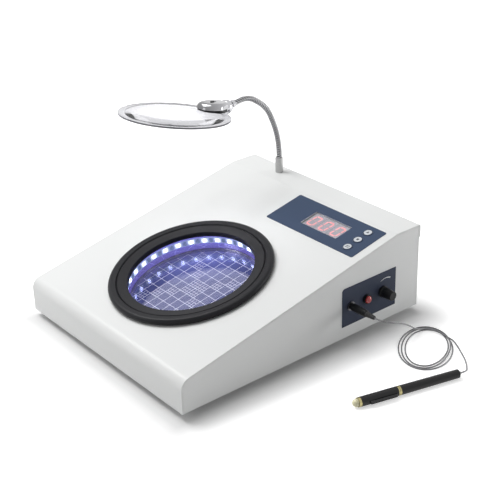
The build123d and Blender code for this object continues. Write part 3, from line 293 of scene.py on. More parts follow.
@dataclass(frozen=True)
class Look:
    """What a finish of any kind has, with its grain and its one material."""

    name: str
    color: Triple
    roughness: float = 0.4
    shade: float = 0.06
    mottle: float = 18.0
    spread: float = 0.08
    grain: float = 900.0
    streak: Streak = Streak.NONE
    painted_fade: Optional[PaintedFade] = None

    def material(self) -> bpy.types.Material:
        """Build the material once, and return it after that."""
        label = "look_" + self.name
        if label in bpy.data.materials:
            return bpy.data.materials[label]
        material = bpy.data.materials.new(label)
        material.use_nodes = True
        wiring = Wiring(material.node_tree)
        shader = next(n for n in material.node_tree.nodes if n.type == "BSDF_PRINCIPLED")
        surface = wiring.add("ShaderNodeGroup", {
            "Color": (*self.color, 1), "Shade": self.shade, "Mottle": self.mottle,
            "Roughness": self.roughness, "Spread": self.spread, "Grain": self.grain,
            "Stretch": self.streak.value,
        }, node_tree=SURFACE).outputs
        color = surface["Color"]
        # Painted light or shade: the colour grows brighter or darker with the distance from a
        # point
        if self.painted_fade:
            color = self.painted_fade.apply(wiring, color)
        wiring.feed(shader.inputs["Base Color"], color)
        wiring.feed(shader.inputs["Roughness"], surface["Roughness"])
        self.complete(wiring, shader, surface["Height"])
        return material

    def complete(
        self, wiring: Wiring, shader: bpy.types.Node, height: bpy.types.NodeSocket
    ) -> None:
        """Add what only this kind of finish has."""


@dataclass(frozen=True)
class Finish(Look):
    """A solid finish: paint, moulded plastic, rubber, print or metal."""

    metallic: float = 0.0
    coat: float = 0.0
    coat_roughness: float = 0.1
    specular: float = 0.5
    depth: float = 0.00002
    glow: float = 0.0
    glow_color: Triple = (1.0, 1.0, 1.0)
    alpha: float = 1.0

    def complete(
        self, wiring: Wiring, shader: bpy.types.Node, height: bpy.types.NodeSocket
    ) -> None:
        """Add the fine relief, the metal, the coat and the glow."""
        bump = wiring.add("ShaderNodeBump", {"Distance": self.depth, "Height": height})
        wiring.feed(shader.inputs["Normal"], bump.outputs[0])
        values = {
            "Metallic": self.metallic, "Specular IOR Level": self.specular, "Alpha": self.alpha,
            "Coat Weight": self.coat, "Coat Roughness": self.coat_roughness,
        }
        if self.glow:
            values |= {"Emission Color": (*self.glow_color, 1), "Emission Strength": self.glow}
        for label, value in values.items():
            shader.inputs[label].default_value = value


@dataclass(frozen=True)
class ClearFinish(Look):
    """Glass or clear plastic that lets the lamps' light through."""

    roughness: float = 0.0
    shade: float = 0.02
    mottle: float = 12.0
    spread: float = 0.02
    grain: float = 60.0
    ior: float = 1.49
    shadow: float = 0.92

    def complete(
        self, wiring: Wiring, shader: bpy.types.Node, height: bpy.types.NodeSocket
    ) -> None:
        """Make the shader clear, and let shadow rays pass through a plain tint."""
        shader.inputs["Transmission Weight"].default_value = 1.0
        shader.inputs["IOR"].default_value = self.ior
        tint = (self.shadow, self.shadow, self.shadow, 1)
        clear = wiring.add("ShaderNodeBsdfTransparent", {"Color": tint})
        shade = wiring.add("ShaderNodeLightPath").outputs["Is Shadow Ray"]
        sockets = {0: shade, 1: shader.outputs[0], 2: clear.outputs[0]}
        output = next(n for n in wiring.tree.nodes if n.type == "OUTPUT_MATERIAL")
        mix = wiring.add("ShaderNodeMixShader", sockets)
        wiring.feed(output.inputs["Surface"], mix.outputs[0])


CASE_PAINT = Finish(
    "light_grey_paint", (0.80, 0.81, 0.805), 0.40, coat=0.1, specular=0.35, shade=0.03,
    mottle=6.0, grain=1400.0, depth=0.00003,
)
BEZEL_BLACK = Finish(
    "bezel_black", (0.018, 0.018, 0.021), 0.32, specular=0.12, shade=0.3, mottle=40.0,
    grain=1100.0, depth=0.00004,
)
RUBBER = Finish(
    "black_rubber", (0.035, 0.035, 0.036), 0.75, shade=0.25, grain=700.0, depth=0.00006,
)
# Painted light: the chamber wall glows violet though it is no lamp
CHAMBER_PAINTED_GLOW = Finish(
    "chamber_wall_painted_glow", (0.50, 0.50, 0.85), 0.12, metallic=1.0, shade=0.1, grain=500.0, glow=0.22,
    glow_color=(0.26, 0.18, 1.0),
)
# Painted light: the strip glows though only its lamps give light
STRIP = Finish(
    "led_strip", (0.45, 0.52, 0.75), 0.5, shade=0.1, glow=0.3, glow_color=(0.50, 0.55, 1.0),
)
LED = Finish("led_lit", (0.9, 0.95, 1.0), 0.3, shade=0.02, glow=9.0, glow_color=(0.50, 0.54, 1.0))
# Painted light: the pads behind the lamps glow though they are no lamps, a glow spread round each
# lamp
LAMP_GLOW_PAD = Finish(
    "lamp_pad", (0.80, 0.88, 0.92), 0.4, shade=0.1, glow=0.55, glow_color=(0.75, 0.90, 1.0),
)
# Painted light: the small parts between the lamps glow faintly though they are no lamps
GLOWING_STRIP_PART = Finish(
    "strip_part", (0.20, 0.30, 0.42), 0.4, shade=0.3, glow=0.16, glow_color=(0.45, 0.55, 1.0),
)
SILICONE = Finish("clear_silicone", (0.14, 0.14, 0.32), 0.35, shade=0.05)
# Painted light: the backdrop is 2.3 times brighter within 15 mm of one point and evens out by 90
# mm away, a pool of light
BACKDROP_PAINTED_LIGHT = Finish(
    "backdrop", (0.068, 0.075, 0.20), 0.20, specular=0.16, shade=0.05, mottle=9.0, spread=0.04,
    depth=0.000002, painted_fade=PaintedFade((-60.0, 20.0, 52.0), 15.0, 90.0, 2.3, 0.95),
)
# Painted light: the grid's white print glows though it is no lamp
GLOWING_GRID_PRINT = Finish(
    "grid_print", (0.85, 0.85, 0.92), 0.6, shade=0.05, glow=0.15, glow_color=(0.8, 0.8, 1.0),
)
OVERLAY = Finish(
    "slate_membrane", (0.055, 0.080, 0.138), 0.5, specular=0.08, shade=0.06, grain=1800.0,
    depth=0.00003,
)
SIDE_OVERLAY = Finish(
    "dark_membrane", (0.040, 0.050, 0.080), 0.5, specular=0.15, shade=0.06, grain=1800.0,
    depth=0.00003,
)
PALE_PRINT = Finish("pale_print", (0.72, 0.74, 0.76), 0.5, shade=0.08, grain=1500.0)
DIGIT_FACE = Finish("digit_face", (0.30, 0.30, 0.33), 0.5, shade=0.05)
DIGIT_LIT = Finish(
    "digit_lit", (0.80, 0.20, 0.20), 0.4, shade=0.04, glow=0.55, glow_color=(1.0, 0.24, 0.24),
)
DIGIT_CORE = Finish(
    "digit_core", (0.50, 0.33, 0.33), 0.4, shade=0.04, glow=0.15, glow_color=(1.0, 0.4, 0.4),
)
DIGIT_DIM = Finish("digit_dim", (0.36, 0.30, 0.31), 0.5, shade=0.04)
KEY_CAP = Finish(
    "key_cap", (0.050, 0.068, 0.110), 0.5, specular=0.15, shade=0.06, grain=1800.0, depth=0.00003,
)
KEY = Finish("key_print", (0.62, 0.65, 0.68), 0.42, shade=0.05, grain=1600.0)
BOARD = Finish("circuit_board", (0.02, 0.12, 0.05), 0.35, coat=0.4, shade=0.3, mottle=120.0)
STEEL = Finish(
    "zinc_steel", (0.62, 0.62, 0.63), 0.32, metallic=1.0, shade=0.15, mottle=60.0,
    streak=Streak.ALONG_Z,
)
NUT = Finish("dark_nickel", (0.16, 0.16, 0.17), 0.30, metallic=1.0, shade=0.1)
POST = Finish(
    "satin_chrome", (0.42, 0.42, 0.42), 0.26, metallic=1.0, shade=0.06, streak=Streak.ALONG_Z,
    grain=2500.0, depth=0.00001,
)
ARMOUR = Finish(
    "armour_chrome", (0.43, 0.43, 0.44), 0.10, metallic=1.0, shade=0.10, grain=2500.0,
    depth=0.00001,
)
# Painted shade: a near-black core under the wires, so that the gaps between them read dark
ARMOUR_SHADE_CORE = Finish("armour_shade_core", (0.012, 0.012, 0.012), 0.7, specular=0.1, shade=0.2)
# Painted shade and reflection: the head's chrome is brightest at the drum and darkens to 0.35 by
# 42 mm away from it
CHROME_PAINTED_SHADE = Finish(
    "head_chrome", (0.56, 0.56, 0.58), 0.16, metallic=1.0, shade=0.25, mottle=45.0, spread=0.05,
    depth=0.000005, painted_fade=PaintedFade((-81.5, 75.06, 221.39), 9.2, 42.0, 1.0, 0.35),
)
PLASTIC = Finish(
    "black_plastic", (0.009, 0.010, 0.011), 0.36, specular=0.22, shade=0.2, mottle=60.0,
    grain=1300.0, depth=0.00005,
)
RED = Finish("red_cap", (0.50, 0.010, 0.012), 0.18, coat=0.6, shade=0.05, depth=0.00001)
CONTACT = Finish("plated_contact", (0.80, 0.78, 0.70), 0.22, metallic=1.0, shade=0.06)
IRON = Finish(
    "laminations", (0.16, 0.15, 0.14), 0.55, metallic=0.6, shade=0.3, streak=Streak.ALONG_X,
)
PEN_BLACK = Finish(
    "pen_lacquer", (0.010, 0.010, 0.011), 0.25, specular=0.3, shade=0.1, depth=0.00001,
)
PEN_GOLD = Finish("pen_rings", (0.44, 0.39, 0.20), 0.11, metallic=1.0, shade=0.05)
IVORY = Finish("ivory_tip", (0.80, 0.76, 0.50), 0.35, coat=0.3, shade=0.06)
CORD = Finish(
    "cord_jacket", (0.20, 0.20, 0.21), 0.42, coat=0.2, shade=0.12, mottle=90.0, grain=1500.0,
    depth=0.00003,
)
MARK_DARK = Finish("dark_print", (0.05, 0.06, 0.08), 0.5, shade=0.06)
GLASS = ClearFinish("station_glass", (0.93, 0.95, 1.0), ior=1.5)
WINDOW = ClearFinish("smoked_window", (0.88, 0.88, 0.90), 0.05, ior=1.25)
# Painted reflections and shade: the lens's strong streaked grey tone along X, and its darkening
# towards the rim to 0.55 at 62 mm
LENS = ClearFinish(
    "clear_acrylic", (0.92, 0.92, 0.96), ior=1.12, shade=0.5, streak=Streak.ALONG_X,
    painted_fade=PaintedFade((-81.5, -0.84, 229.59), 22.0, 62.0, 1.0, 0.55),
)
# Painted shade: thin grey rings at the lens's rim, which is a real ground edge, and at its flange
# step
LENS_RIM_SHADE = Finish("rim_shade_lines", (0.24, 0.24, 0.27), 0.35, shade=0.2, alpha=0.6)

CAD_FINISHES: dict[Any, tuple[str, ...]] = {
    CASE_PAINT: ("top_cover", "rear_panel", "base_plate", "left_side_panel", "right_side_panel"),
    BEZEL_BLACK: ("bezel_ring",),
    GLASS: ("glass_plate",),
    RUBBER: ("rubber_feet", "plug_boot"),
    SILICONE: ("glass_gasket",),
    CHAMBER_PAINTED_GLOW: ("light_chamber",),
    STRIP: ("led_strip",),
    LED: ("strip_leds",),
    BACKDROP_PAINTED_LIGHT: ("backdrop_disc",),
    STEEL: (
        "base_screws", "rear_screws", "station_screws", "board_standoffs", "post_nut", "pot_shaft",
    ),
    NUT: ("panel_nuts",),
    OVERLAY: ("display_overlay",),
    SIDE_OVERLAY: ("side_overlay",),
    WINDOW: ("display_window",),
    DIGIT_FACE: ("digit_displays",),
    BOARD: ("display_board", "supply_board"),
    KEY_CAP: ("upper_key", "middle_key", "lower_key"),
    IRON: ("transformer",),
    PLASTIC: (
        "jack_socket", "button_housing", "potentiometer", "brightness_knob", "power_inlet",
        "rocker_frame", "rocker_paddle", "head_lower_shell", "lamp_switch", "plug_handle",
    ),
    RED: ("reset_cap",),
    CONTACT: ("inlet_pins", "plug_contacts"),
    POST: ("neck_post",),
    CHROME_PAINTED_SHADE: ("head_upper_shell", "neck_tip"),
    ARMOUR: ("neck_lower", "neck_middle", "neck_upper"),
    LENS: ("lens",),
    PEN_BLACK: ("pen_rear_barrel", "pen_front_barrel", "pen_clip"),
    PEN_GOLD: ("pen_rings",),
    IVORY: ("pen_tip",),
    CORD: ("pen_cord_lead", "pen_cord_coil", "pen_cord_tail", "pen_end_bush"),
}


def dress_frame() -> None:
    """Give every carried-over node its finish."""
    for finish, nodes in CAD_FINISHES.items():
        for node in nodes:
            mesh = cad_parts[node].data
            mesh.materials.clear()
            mesh.materials.append(finish.material())
    LOG.info("dressed %d nodes", sum(len(nodes) for nodes in CAD_FINISHES.values()))


# Meshes


def stand(name: str, data: Any) -> bpy.types.Object:
    """Put data in the scene as an object at the origin."""
    piece = bpy.data.objects.new(name, data)
    bpy.context.scene.collection.objects.link(piece)
    return piece


def mesh_object(
    name: str, shape: bmesh.types.BMesh, finish: Any, place: Matrix
) -> bpy.types.Object:
    """Turn a shape into an object at the origin, its place in its mesh.

    Args:
        name: The piece's name.
        shape: The shape, which is used up.
        finish: The finish that covers it.
        place: A matrix to the frame's metres.

    Returns:
        The object.
    """
    shape.transform(place)
    bmesh.ops.recalc_face_normals(shape, faces=shape.faces)
    mesh = bpy.data.meshes.new(name)
    shape.to_mesh(mesh)
    shape.free()
    mesh.materials.append(finish.material())
    return stand(name, mesh)


def slab(shape: bmesh.types.BMesh, outline: Sequence[Pair], low: float, high: float) -> None:
    """Add a flat plate with an outline, between two heights."""
    base = [shape.verts.new((x, y, low)) for x, y in outline]
    top = [shape.verts.new((x, y, high)) for x, y in outline]
    count = len(outline)
    shape.faces.new(list(reversed(base)))
    shape.faces.new(top)
    for i in range(count):
        j = (i + 1) % count
        shape.faces.new((base[i], base[j], top[j], top[i]))


def grown(
    name: str, tree: bpy.types.NodeTree, values: dict[str, Any],
    seed: Optional[bpy.types.Mesh] = None,
) -> bpy.types.Object:
    """Run a geometry tree once and keep its result as a plain mesh.

    Args:
        name: The piece's name.
        tree: The geometry node tree.
        values: Input names with their values.
        seed: The mesh the tree starts from.

    Returns:
        The finished object.
    """
    source = stand(name + "_source", seed or bpy.data.meshes.new(name + "_seed"))
    modifier = source.modifiers.new("build", "NODES")
    modifier.node_group = tree
    for socket in tree.interface.items_tree:
        if socket.item_type == "SOCKET" and socket.in_out == "INPUT" and socket.name in values:
            modifier[socket.identifier] = values[socket.name]
    bpy.context.view_layer.update()
    depsgraph = bpy.context.evaluated_depsgraph_get()
    mesh = bpy.data.meshes.new_from_object(source.evaluated_get(depsgraph), depsgraph=depsgraph)
    mesh.name = name
    worn = list(mesh.materials)
    fitted = [material for material in worn if material]
    numbers = [fitted.index(worn[polygon.material_index]) for polygon in mesh.polygons]
    mesh.materials.clear()
    for material in fitted:
        mesh.materials.append(material)
    mesh.polygons.foreach_set("material_index", numbers)
    source.modifiers.clear()
    bpy.data.objects.remove(source)
    return stand(name, mesh)


def settle(piece: bpy.types.Object, body: str, slot: Slot, *nodes: str) -> bpy.types.Object:
    """Ride a piece on its body, and let it stand for nodes."""
    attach(piece, body)
    if nodes:
        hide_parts(*nodes)
    LOG.info("%s rides on %s", piece.name, body)
    return piece


# Viewing station


@dataclass
class ViewingStation:
    """The lit well: its printed counting grid and the parts along its strip of lamps."""

    grid_pitch: float = 12.7
    grid_radius: float = 78.5
    grid_margin: float = 0.75
    grid_lift: float = -25.44
    grid_off: Pair = (-2.0, -0.5)
    line_width: float = 0.36
    fine_width: float = 0.25
    line_height: float = 0.06
    strip_radius: float = 79.4
    strip_lift: float = -9.8
    lamp_count: int = 30
    centre: Pair = STATION

    def line_tree(self) -> bpy.types.NodeTree:
        """Build the tree that rules straight lines across a disc, both ways."""
        wiring = Wiring.grower(
            "ruled_lines", radius=NUMBER, pitch=NUMBER, width=NUMBER, height=NUMBER,
            across=OFFSET, up=OFFSET,
        )
        given = wiring.start.outputs
        both = wiring.add("GeometryNodeJoinGeometry")
        for turn, shift in ((0.0, given["Across"]), (math.pi / 2, given["Up"])):
            steps = wiring.math("FLOOR", wiring.math("DIVIDE", given["Radius"], given["Pitch"]))
            count = wiring.math("ADD", wiring.math("MULTIPLY", steps, 2.0), 1.0)
            first = wiring.math("MULTIPLY", wiring.math("MULTIPLY", steps, given["Pitch"]), -1.0)
            row = wiring.add("GeometryNodeMeshLine", {
                "Count": count, "Start Location": wiring.xyz(wiring.math("ADD", first, shift)),
                "Offset": wiring.xyz(given["Pitch"]),
            })
            place = wiring.add("GeometryNodeInputPosition").outputs[0]
            away = wiring.add("ShaderNodeSeparateXYZ", {0: place}).outputs[0]
            square = wiring.math("POWER", given["Radius"], 2.0)
            square = wiring.math("SUBTRACT", square, wiring.math("MULTIPLY", away, away))
            half = wiring.math("SQRT", wiring.math("MAXIMUM", square, 0.01))
            size = wiring.xyz(given["Width"], wiring.math("MULTIPLY", half, 2.0), given["Height"])
            bar = wiring.add("GeometryNodeMeshCube", {"Size": (1.0, 1.0, 1.0)})
            bars = wiring.add("GeometryNodeInstanceOnPoints", {
                "Points": row.outputs[0], "Instance": bar.outputs[0], "Scale": size,
            })
            sockets = {"Geometry": bars.outputs[0], "Rotation": (0, 0, turn)}
            turned = wiring.add("GeometryNodeTransform", sockets)
            wiring.feed(both.inputs[0], turned.outputs[0])
        self.close(wiring, both.outputs[0], GLOWING_GRID_PRINT.material())
        return wiring.tree

    def hatch_tree(self) -> bpy.types.NodeTree:
        """Build the tree that divides each marked square three by three."""
        wiring = Wiring.grower(
            "divided_squares", squares=GEOMETRY, pitch=NUMBER, width=NUMBER, height=NUMBER
        )
        given = wiring.start.outputs
        both = wiring.add("GeometryNodeJoinGeometry")
        size = wiring.xyz(given["Width"], given["Pitch"], given["Height"])
        bar = wiring.add("GeometryNodeMeshCube", {"Size": size})
        for turn in (0.0, math.pi / 2):
            for side in (-1, 1):
                out = wiring.math("MULTIPLY", given["Pitch"], side / 6)
                shift = wiring.xyz(y=out) if turn else wiring.xyz(x=out)
                moved = wiring.add("GeometryNodeTransform", {
                    "Geometry": bar.outputs[0], "Translation": shift, "Rotation": (0, 0, turn),
                })
                wiring.feed(both.inputs[0], moved.outputs[0])
        sockets = {"Points": given["Squares"], "Instance": both.outputs[0]}
        spread = wiring.add("GeometryNodeInstanceOnPoints", sockets)
        self.close(wiring, spread.outputs[0], GLOWING_GRID_PRINT.material())
        return wiring.tree

    @staticmethod
    def close(wiring: Wiring, result: bpy.types.NodeSocket, finish: Any) -> None:
        """End a tree in real geometry that carries its finish."""
        real = wiring.add("GeometryNodeRealizeInstances", {0: result})
        sockets = {"Geometry": real.outputs[0], "Material": finish}
        dressed = wiring.add("GeometryNodeSetMaterial", sockets)
        wiring.feed(wiring.end.inputs[0], dressed.outputs[0])

    def marked_squares(self) -> bpy.types.Mesh:
        """Place a point in each square of the two diagonals that lies inside the disc."""
        reach = int(self.grid_radius // self.grid_pitch)
        spots = []
        for i in range(-reach - 1, reach + 1):
            for j in sorted({i, -1 - i}):
                x, y = (i + 0.5) * self.grid_pitch, (j + 0.5) * self.grid_pitch
                if math.hypot(x, y) < self.grid_radius - self.grid_margin * self.grid_pitch:
                    spots.append((x + self.grid_off[0], y + self.grid_off[1], 0.0))
        mesh = bpy.data.meshes.new("marked_squares")
        mesh.from_pydata(spots, [], [])
        return mesh

    def build_grid(self) -> None:
        """Print the counting grid under the glass."""
        place = on_deck(*self.centre, self.grid_lift)
        lines = grown("counting_grid", self.line_tree(), {
            "Radius": self.grid_radius, "Pitch": self.grid_pitch, "Width": self.line_width,
            "Height": self.line_height, "Across": self.grid_off[0], "Up": -self.grid_off[1],
        })
        hatch = grown("counting_grid_squares", self.hatch_tree(), {
            "Pitch": self.grid_pitch, "Width": self.fine_width, "Height": self.line_height,
        }, self.marked_squares())
        for piece in (lines, hatch):
            piece.data.transform(place)
            settle(piece, "case", Slot.LED)

    def strip_tree(self) -> bpy.types.NodeTree:
        """Build the tree that sets small flat parts round the strip."""
        wiring = Wiring.grower(
            "strip_parts", radius=NUMBER, count=AMOUNT, size=("NodeSocketVector", (1, 1, 1)),
            finish=("NodeSocketMaterial", None),
        )
        given = wiring.start.outputs
        sockets = {"Vertices": given["Count"], "Radius": given["Radius"]}
        ring = wiring.add("GeometryNodeMeshCircle", sockets)
        bar = wiring.add("GeometryNodeMeshCube", {"Size": given["Size"]})
        place = wiring.add("GeometryNodeInputPosition").outputs[0]
        facing = wiring.add("FunctionNodeAlignRotationToVector", {"Vector": place}, axis="X")
        parts = wiring.add("GeometryNodeInstanceOnPoints", {
            "Points": ring.outputs[0], "Instance": bar.outputs[0], "Rotation": facing.outputs[0],
        })
        self.close(wiring, parts.outputs[0], given["Finish"])
        return wiring.tree

    def build_strip(self) -> None:
        """Set the pads behind the lamps and the small parts between them, both glowing as painted
        light.
        """
        tree = self.strip_tree()
        step = 2 * math.pi / self.lamp_count
        parts = (
            ("lamp_pads", 0.0, 0.15, (0.3, 8.4, 6.2), LAMP_GLOW_PAD),
            ("strip_parts_near", 0.40, 0.35, (0.7, 1.0, 5.0), GLOWING_STRIP_PART),
            ("strip_parts_mid", 0.50, 0.35, (0.7, 1.3, 6.0), GLOWING_STRIP_PART),
            ("strip_parts_far", 0.60, 0.35, (0.7, 1.0, 5.0), GLOWING_STRIP_PART),
        )
        for name, share, inset, size, finish in parts:
            piece = grown(name, tree, {
                "Radius": self.strip_radius - inset, "Count": self.lamp_count, "Size": size,
                "Finish": finish.material(),
            })
            turn = Matrix.Rotation(share * step, 4, "Z")
            piece.data.transform(on_deck(*self.centre, self.strip_lift) @ turn)
            settle(piece, "case", Slot.LED if finish is LAMP_GLOW_PAD else Slot.STRIP)

    def build(self) -> None:
        """Build the station's pieces."""
        self.build_grid()
        self.build_strip()


# Display


@dataclass
class Display:
    """Three lit digits behind their window, and the marks on the keys."""

    window: Pair = (66.6, 283.9)
    digit_pitch: float = 20.0
    digit_lift: float = -2.66
    digit_height: float = 17.0
    digit_width: float = 9.6
    bar: float = 2.0
    core: float = 0.8
    slant: float = 0.10
    key_x: float = 120.4
    key_pitch: float = 16.6
    key_top: float = 1.12
    disc_radius: float = 4.75
    mark_lift: float = 0.03
    print_height: float = 0.04
    bar_gap: float = 0.25

    def segment(self, ends: Sequence[Pair], width: float) -> list[Pair]:
        """Outline one six-sided bar between two points."""
        a, b = Vector((*ends[0], 0)), Vector((*ends[1], 0))
        along = (b - a).normalized()
        side = Vector((-along.y, along.x, 0)) * width / 2
        tip = along * width / 2
        a, b = a + along * self.bar_gap, b - along * self.bar_gap
        corners = (a, a + tip + side, b - tip + side, b, b - tip - side, a + tip - side)
        return [(p.x + self.slant * p.y, p.y) for p in corners]

    def build_digits(self) -> None:
        """Build the lit bars, which show noughts, their cores and the unlit middle bars."""
        w, h = self.digit_width / 2, self.digit_height / 2
        lit_bars = (
            ((-w, h), (w, h)), ((w, h), (w, 0)), ((w, 0), (w, -h)),
            ((w, -h), (-w, -h)), ((-w, -h), (-w, 0)), ((-w, 0), (-w, h)),
        )
        middle = (((-w, 0), (w, 0)),)
        layers = (
            ("lit_bars", lit_bars, self.bar, 0.12, DIGIT_LIT),
            ("lit_cores", lit_bars, self.core, 0.16, DIGIT_CORE),
            ("unlit_bars", middle, 0.8 * self.bar, 0.10, DIGIT_DIM),
        )
        for name, bars, width, height, finish in layers:
            shape = bmesh.new()
            for index in (-1, 0, 1):
                for ends in bars:
                    outline = self.segment(ends, width)
                    outline = [(x + index * self.digit_pitch, y) for x, y in outline]
                    slab(shape, outline, 0.0, height)
            place = on_deck(*self.window, self.digit_lift)
            settle(mesh_object(name, shape, finish, place), "case", Slot.DIGIT)

    def build_marks(self) -> None:
        """Print a pale disc and a plain mark on each key."""
        steps = (math.radians(10 * i) for i in range(36))
        disc = [(self.disc_radius * math.cos(a), self.disc_radius * math.sin(a)) for a in steps]
        triangle = [(-1.9, -1.4), (1.9, -1.4), (0.0, 2.0)]
        square = [(-1.6, -1.5), (1.6, -1.5), (1.6, 1.5), (-1.6, 1.5)]
        bar = [(-2.6, 0.3), (2.6, 1.1), (2.6, 2.1), (-2.6, 1.3)]
        bars = (bar, [(x, y - 2.4) for x, y in bar])
        keys = (
            ("upper_key", 1, (triangle,)), ("middle_key", 0, (square,)), ("lower_key", -1, bars),
        )
        for body, row, outlines in keys:
            place = on_deck(self.key_x, self.window[1] + row * self.key_pitch, self.key_top)
            layers = (
                ("_disc", (disc,), 0.0, KEY, Slot.KEY),
                ("_mark", outlines, self.mark_lift, MARK_DARK, Slot.OVERLAY),
            )
            for ending, shapes, low, finish, slot in layers:
                shape = bmesh.new()
                for outline in shapes:
                    slab(shape, outline, low, low + self.print_height)
                settle(mesh_object(body + ending, shape, finish, place), body, slot)

    def build(self) -> None:
        """Build the display's pieces."""
        self.build_digits()
        self.build_marks()


# Side controls


@dataclass
class SideControls:
    """The print round the controls in the right wall."""

    knob_y: float = 114.0
    scale_radius: float = 14.0
    scale_rise: float = 4.6
    scale_from: float = 104.0
    scale_to: float = 49.0
    scale_steps: int = 24
    thin_half: float = 0.15
    half_gain: float = 0.65
    print_height: float = 0.04

    def build(self) -> None:
        """Print the swelling scale over the knob."""
        outer, inner = [], []
        for i in range(self.scale_steps + 1):
            share = i / self.scale_steps
            angle = math.radians(self.scale_from + share * (self.scale_to - self.scale_from))
            half = self.thin_half + self.half_gain * share
            middle = self.scale_radius + self.scale_rise * share
            for line, radius in ((outer, middle + half), (inner, middle - half)):
                line.append((radius * math.cos(angle), radius * math.sin(angle)))
        shape = bmesh.new()
        low_out, low_in, top_out, top_in = (
            [shape.verts.new((x, y, z)) for x, y in line]
            for z in (0.0, self.print_height) for line in (outer, inner)
        )
        for i in range(self.scale_steps):
            shape.faces.new((top_out[i], top_out[i + 1], top_in[i + 1], top_in[i]))
            shape.faces.new((low_out[i], low_in[i], low_in[i + 1], low_out[i + 1]))
            shape.faces.new((low_out[i], low_out[i + 1], top_out[i + 1], top_out[i]))
            shape.faces.new((low_in[i + 1], low_in[i], top_in[i], top_in[i + 1]))
        for i in (0, -1):
            shape.faces.new((low_out[i], top_out[i], top_in[i], low_in[i]))
        place = on_wall(self.knob_y, CONTROL_Z)
        settle(mesh_object("knob_scale", shape, PALE_PRINT, place), "case", Slot.KEY)


# Magnifier


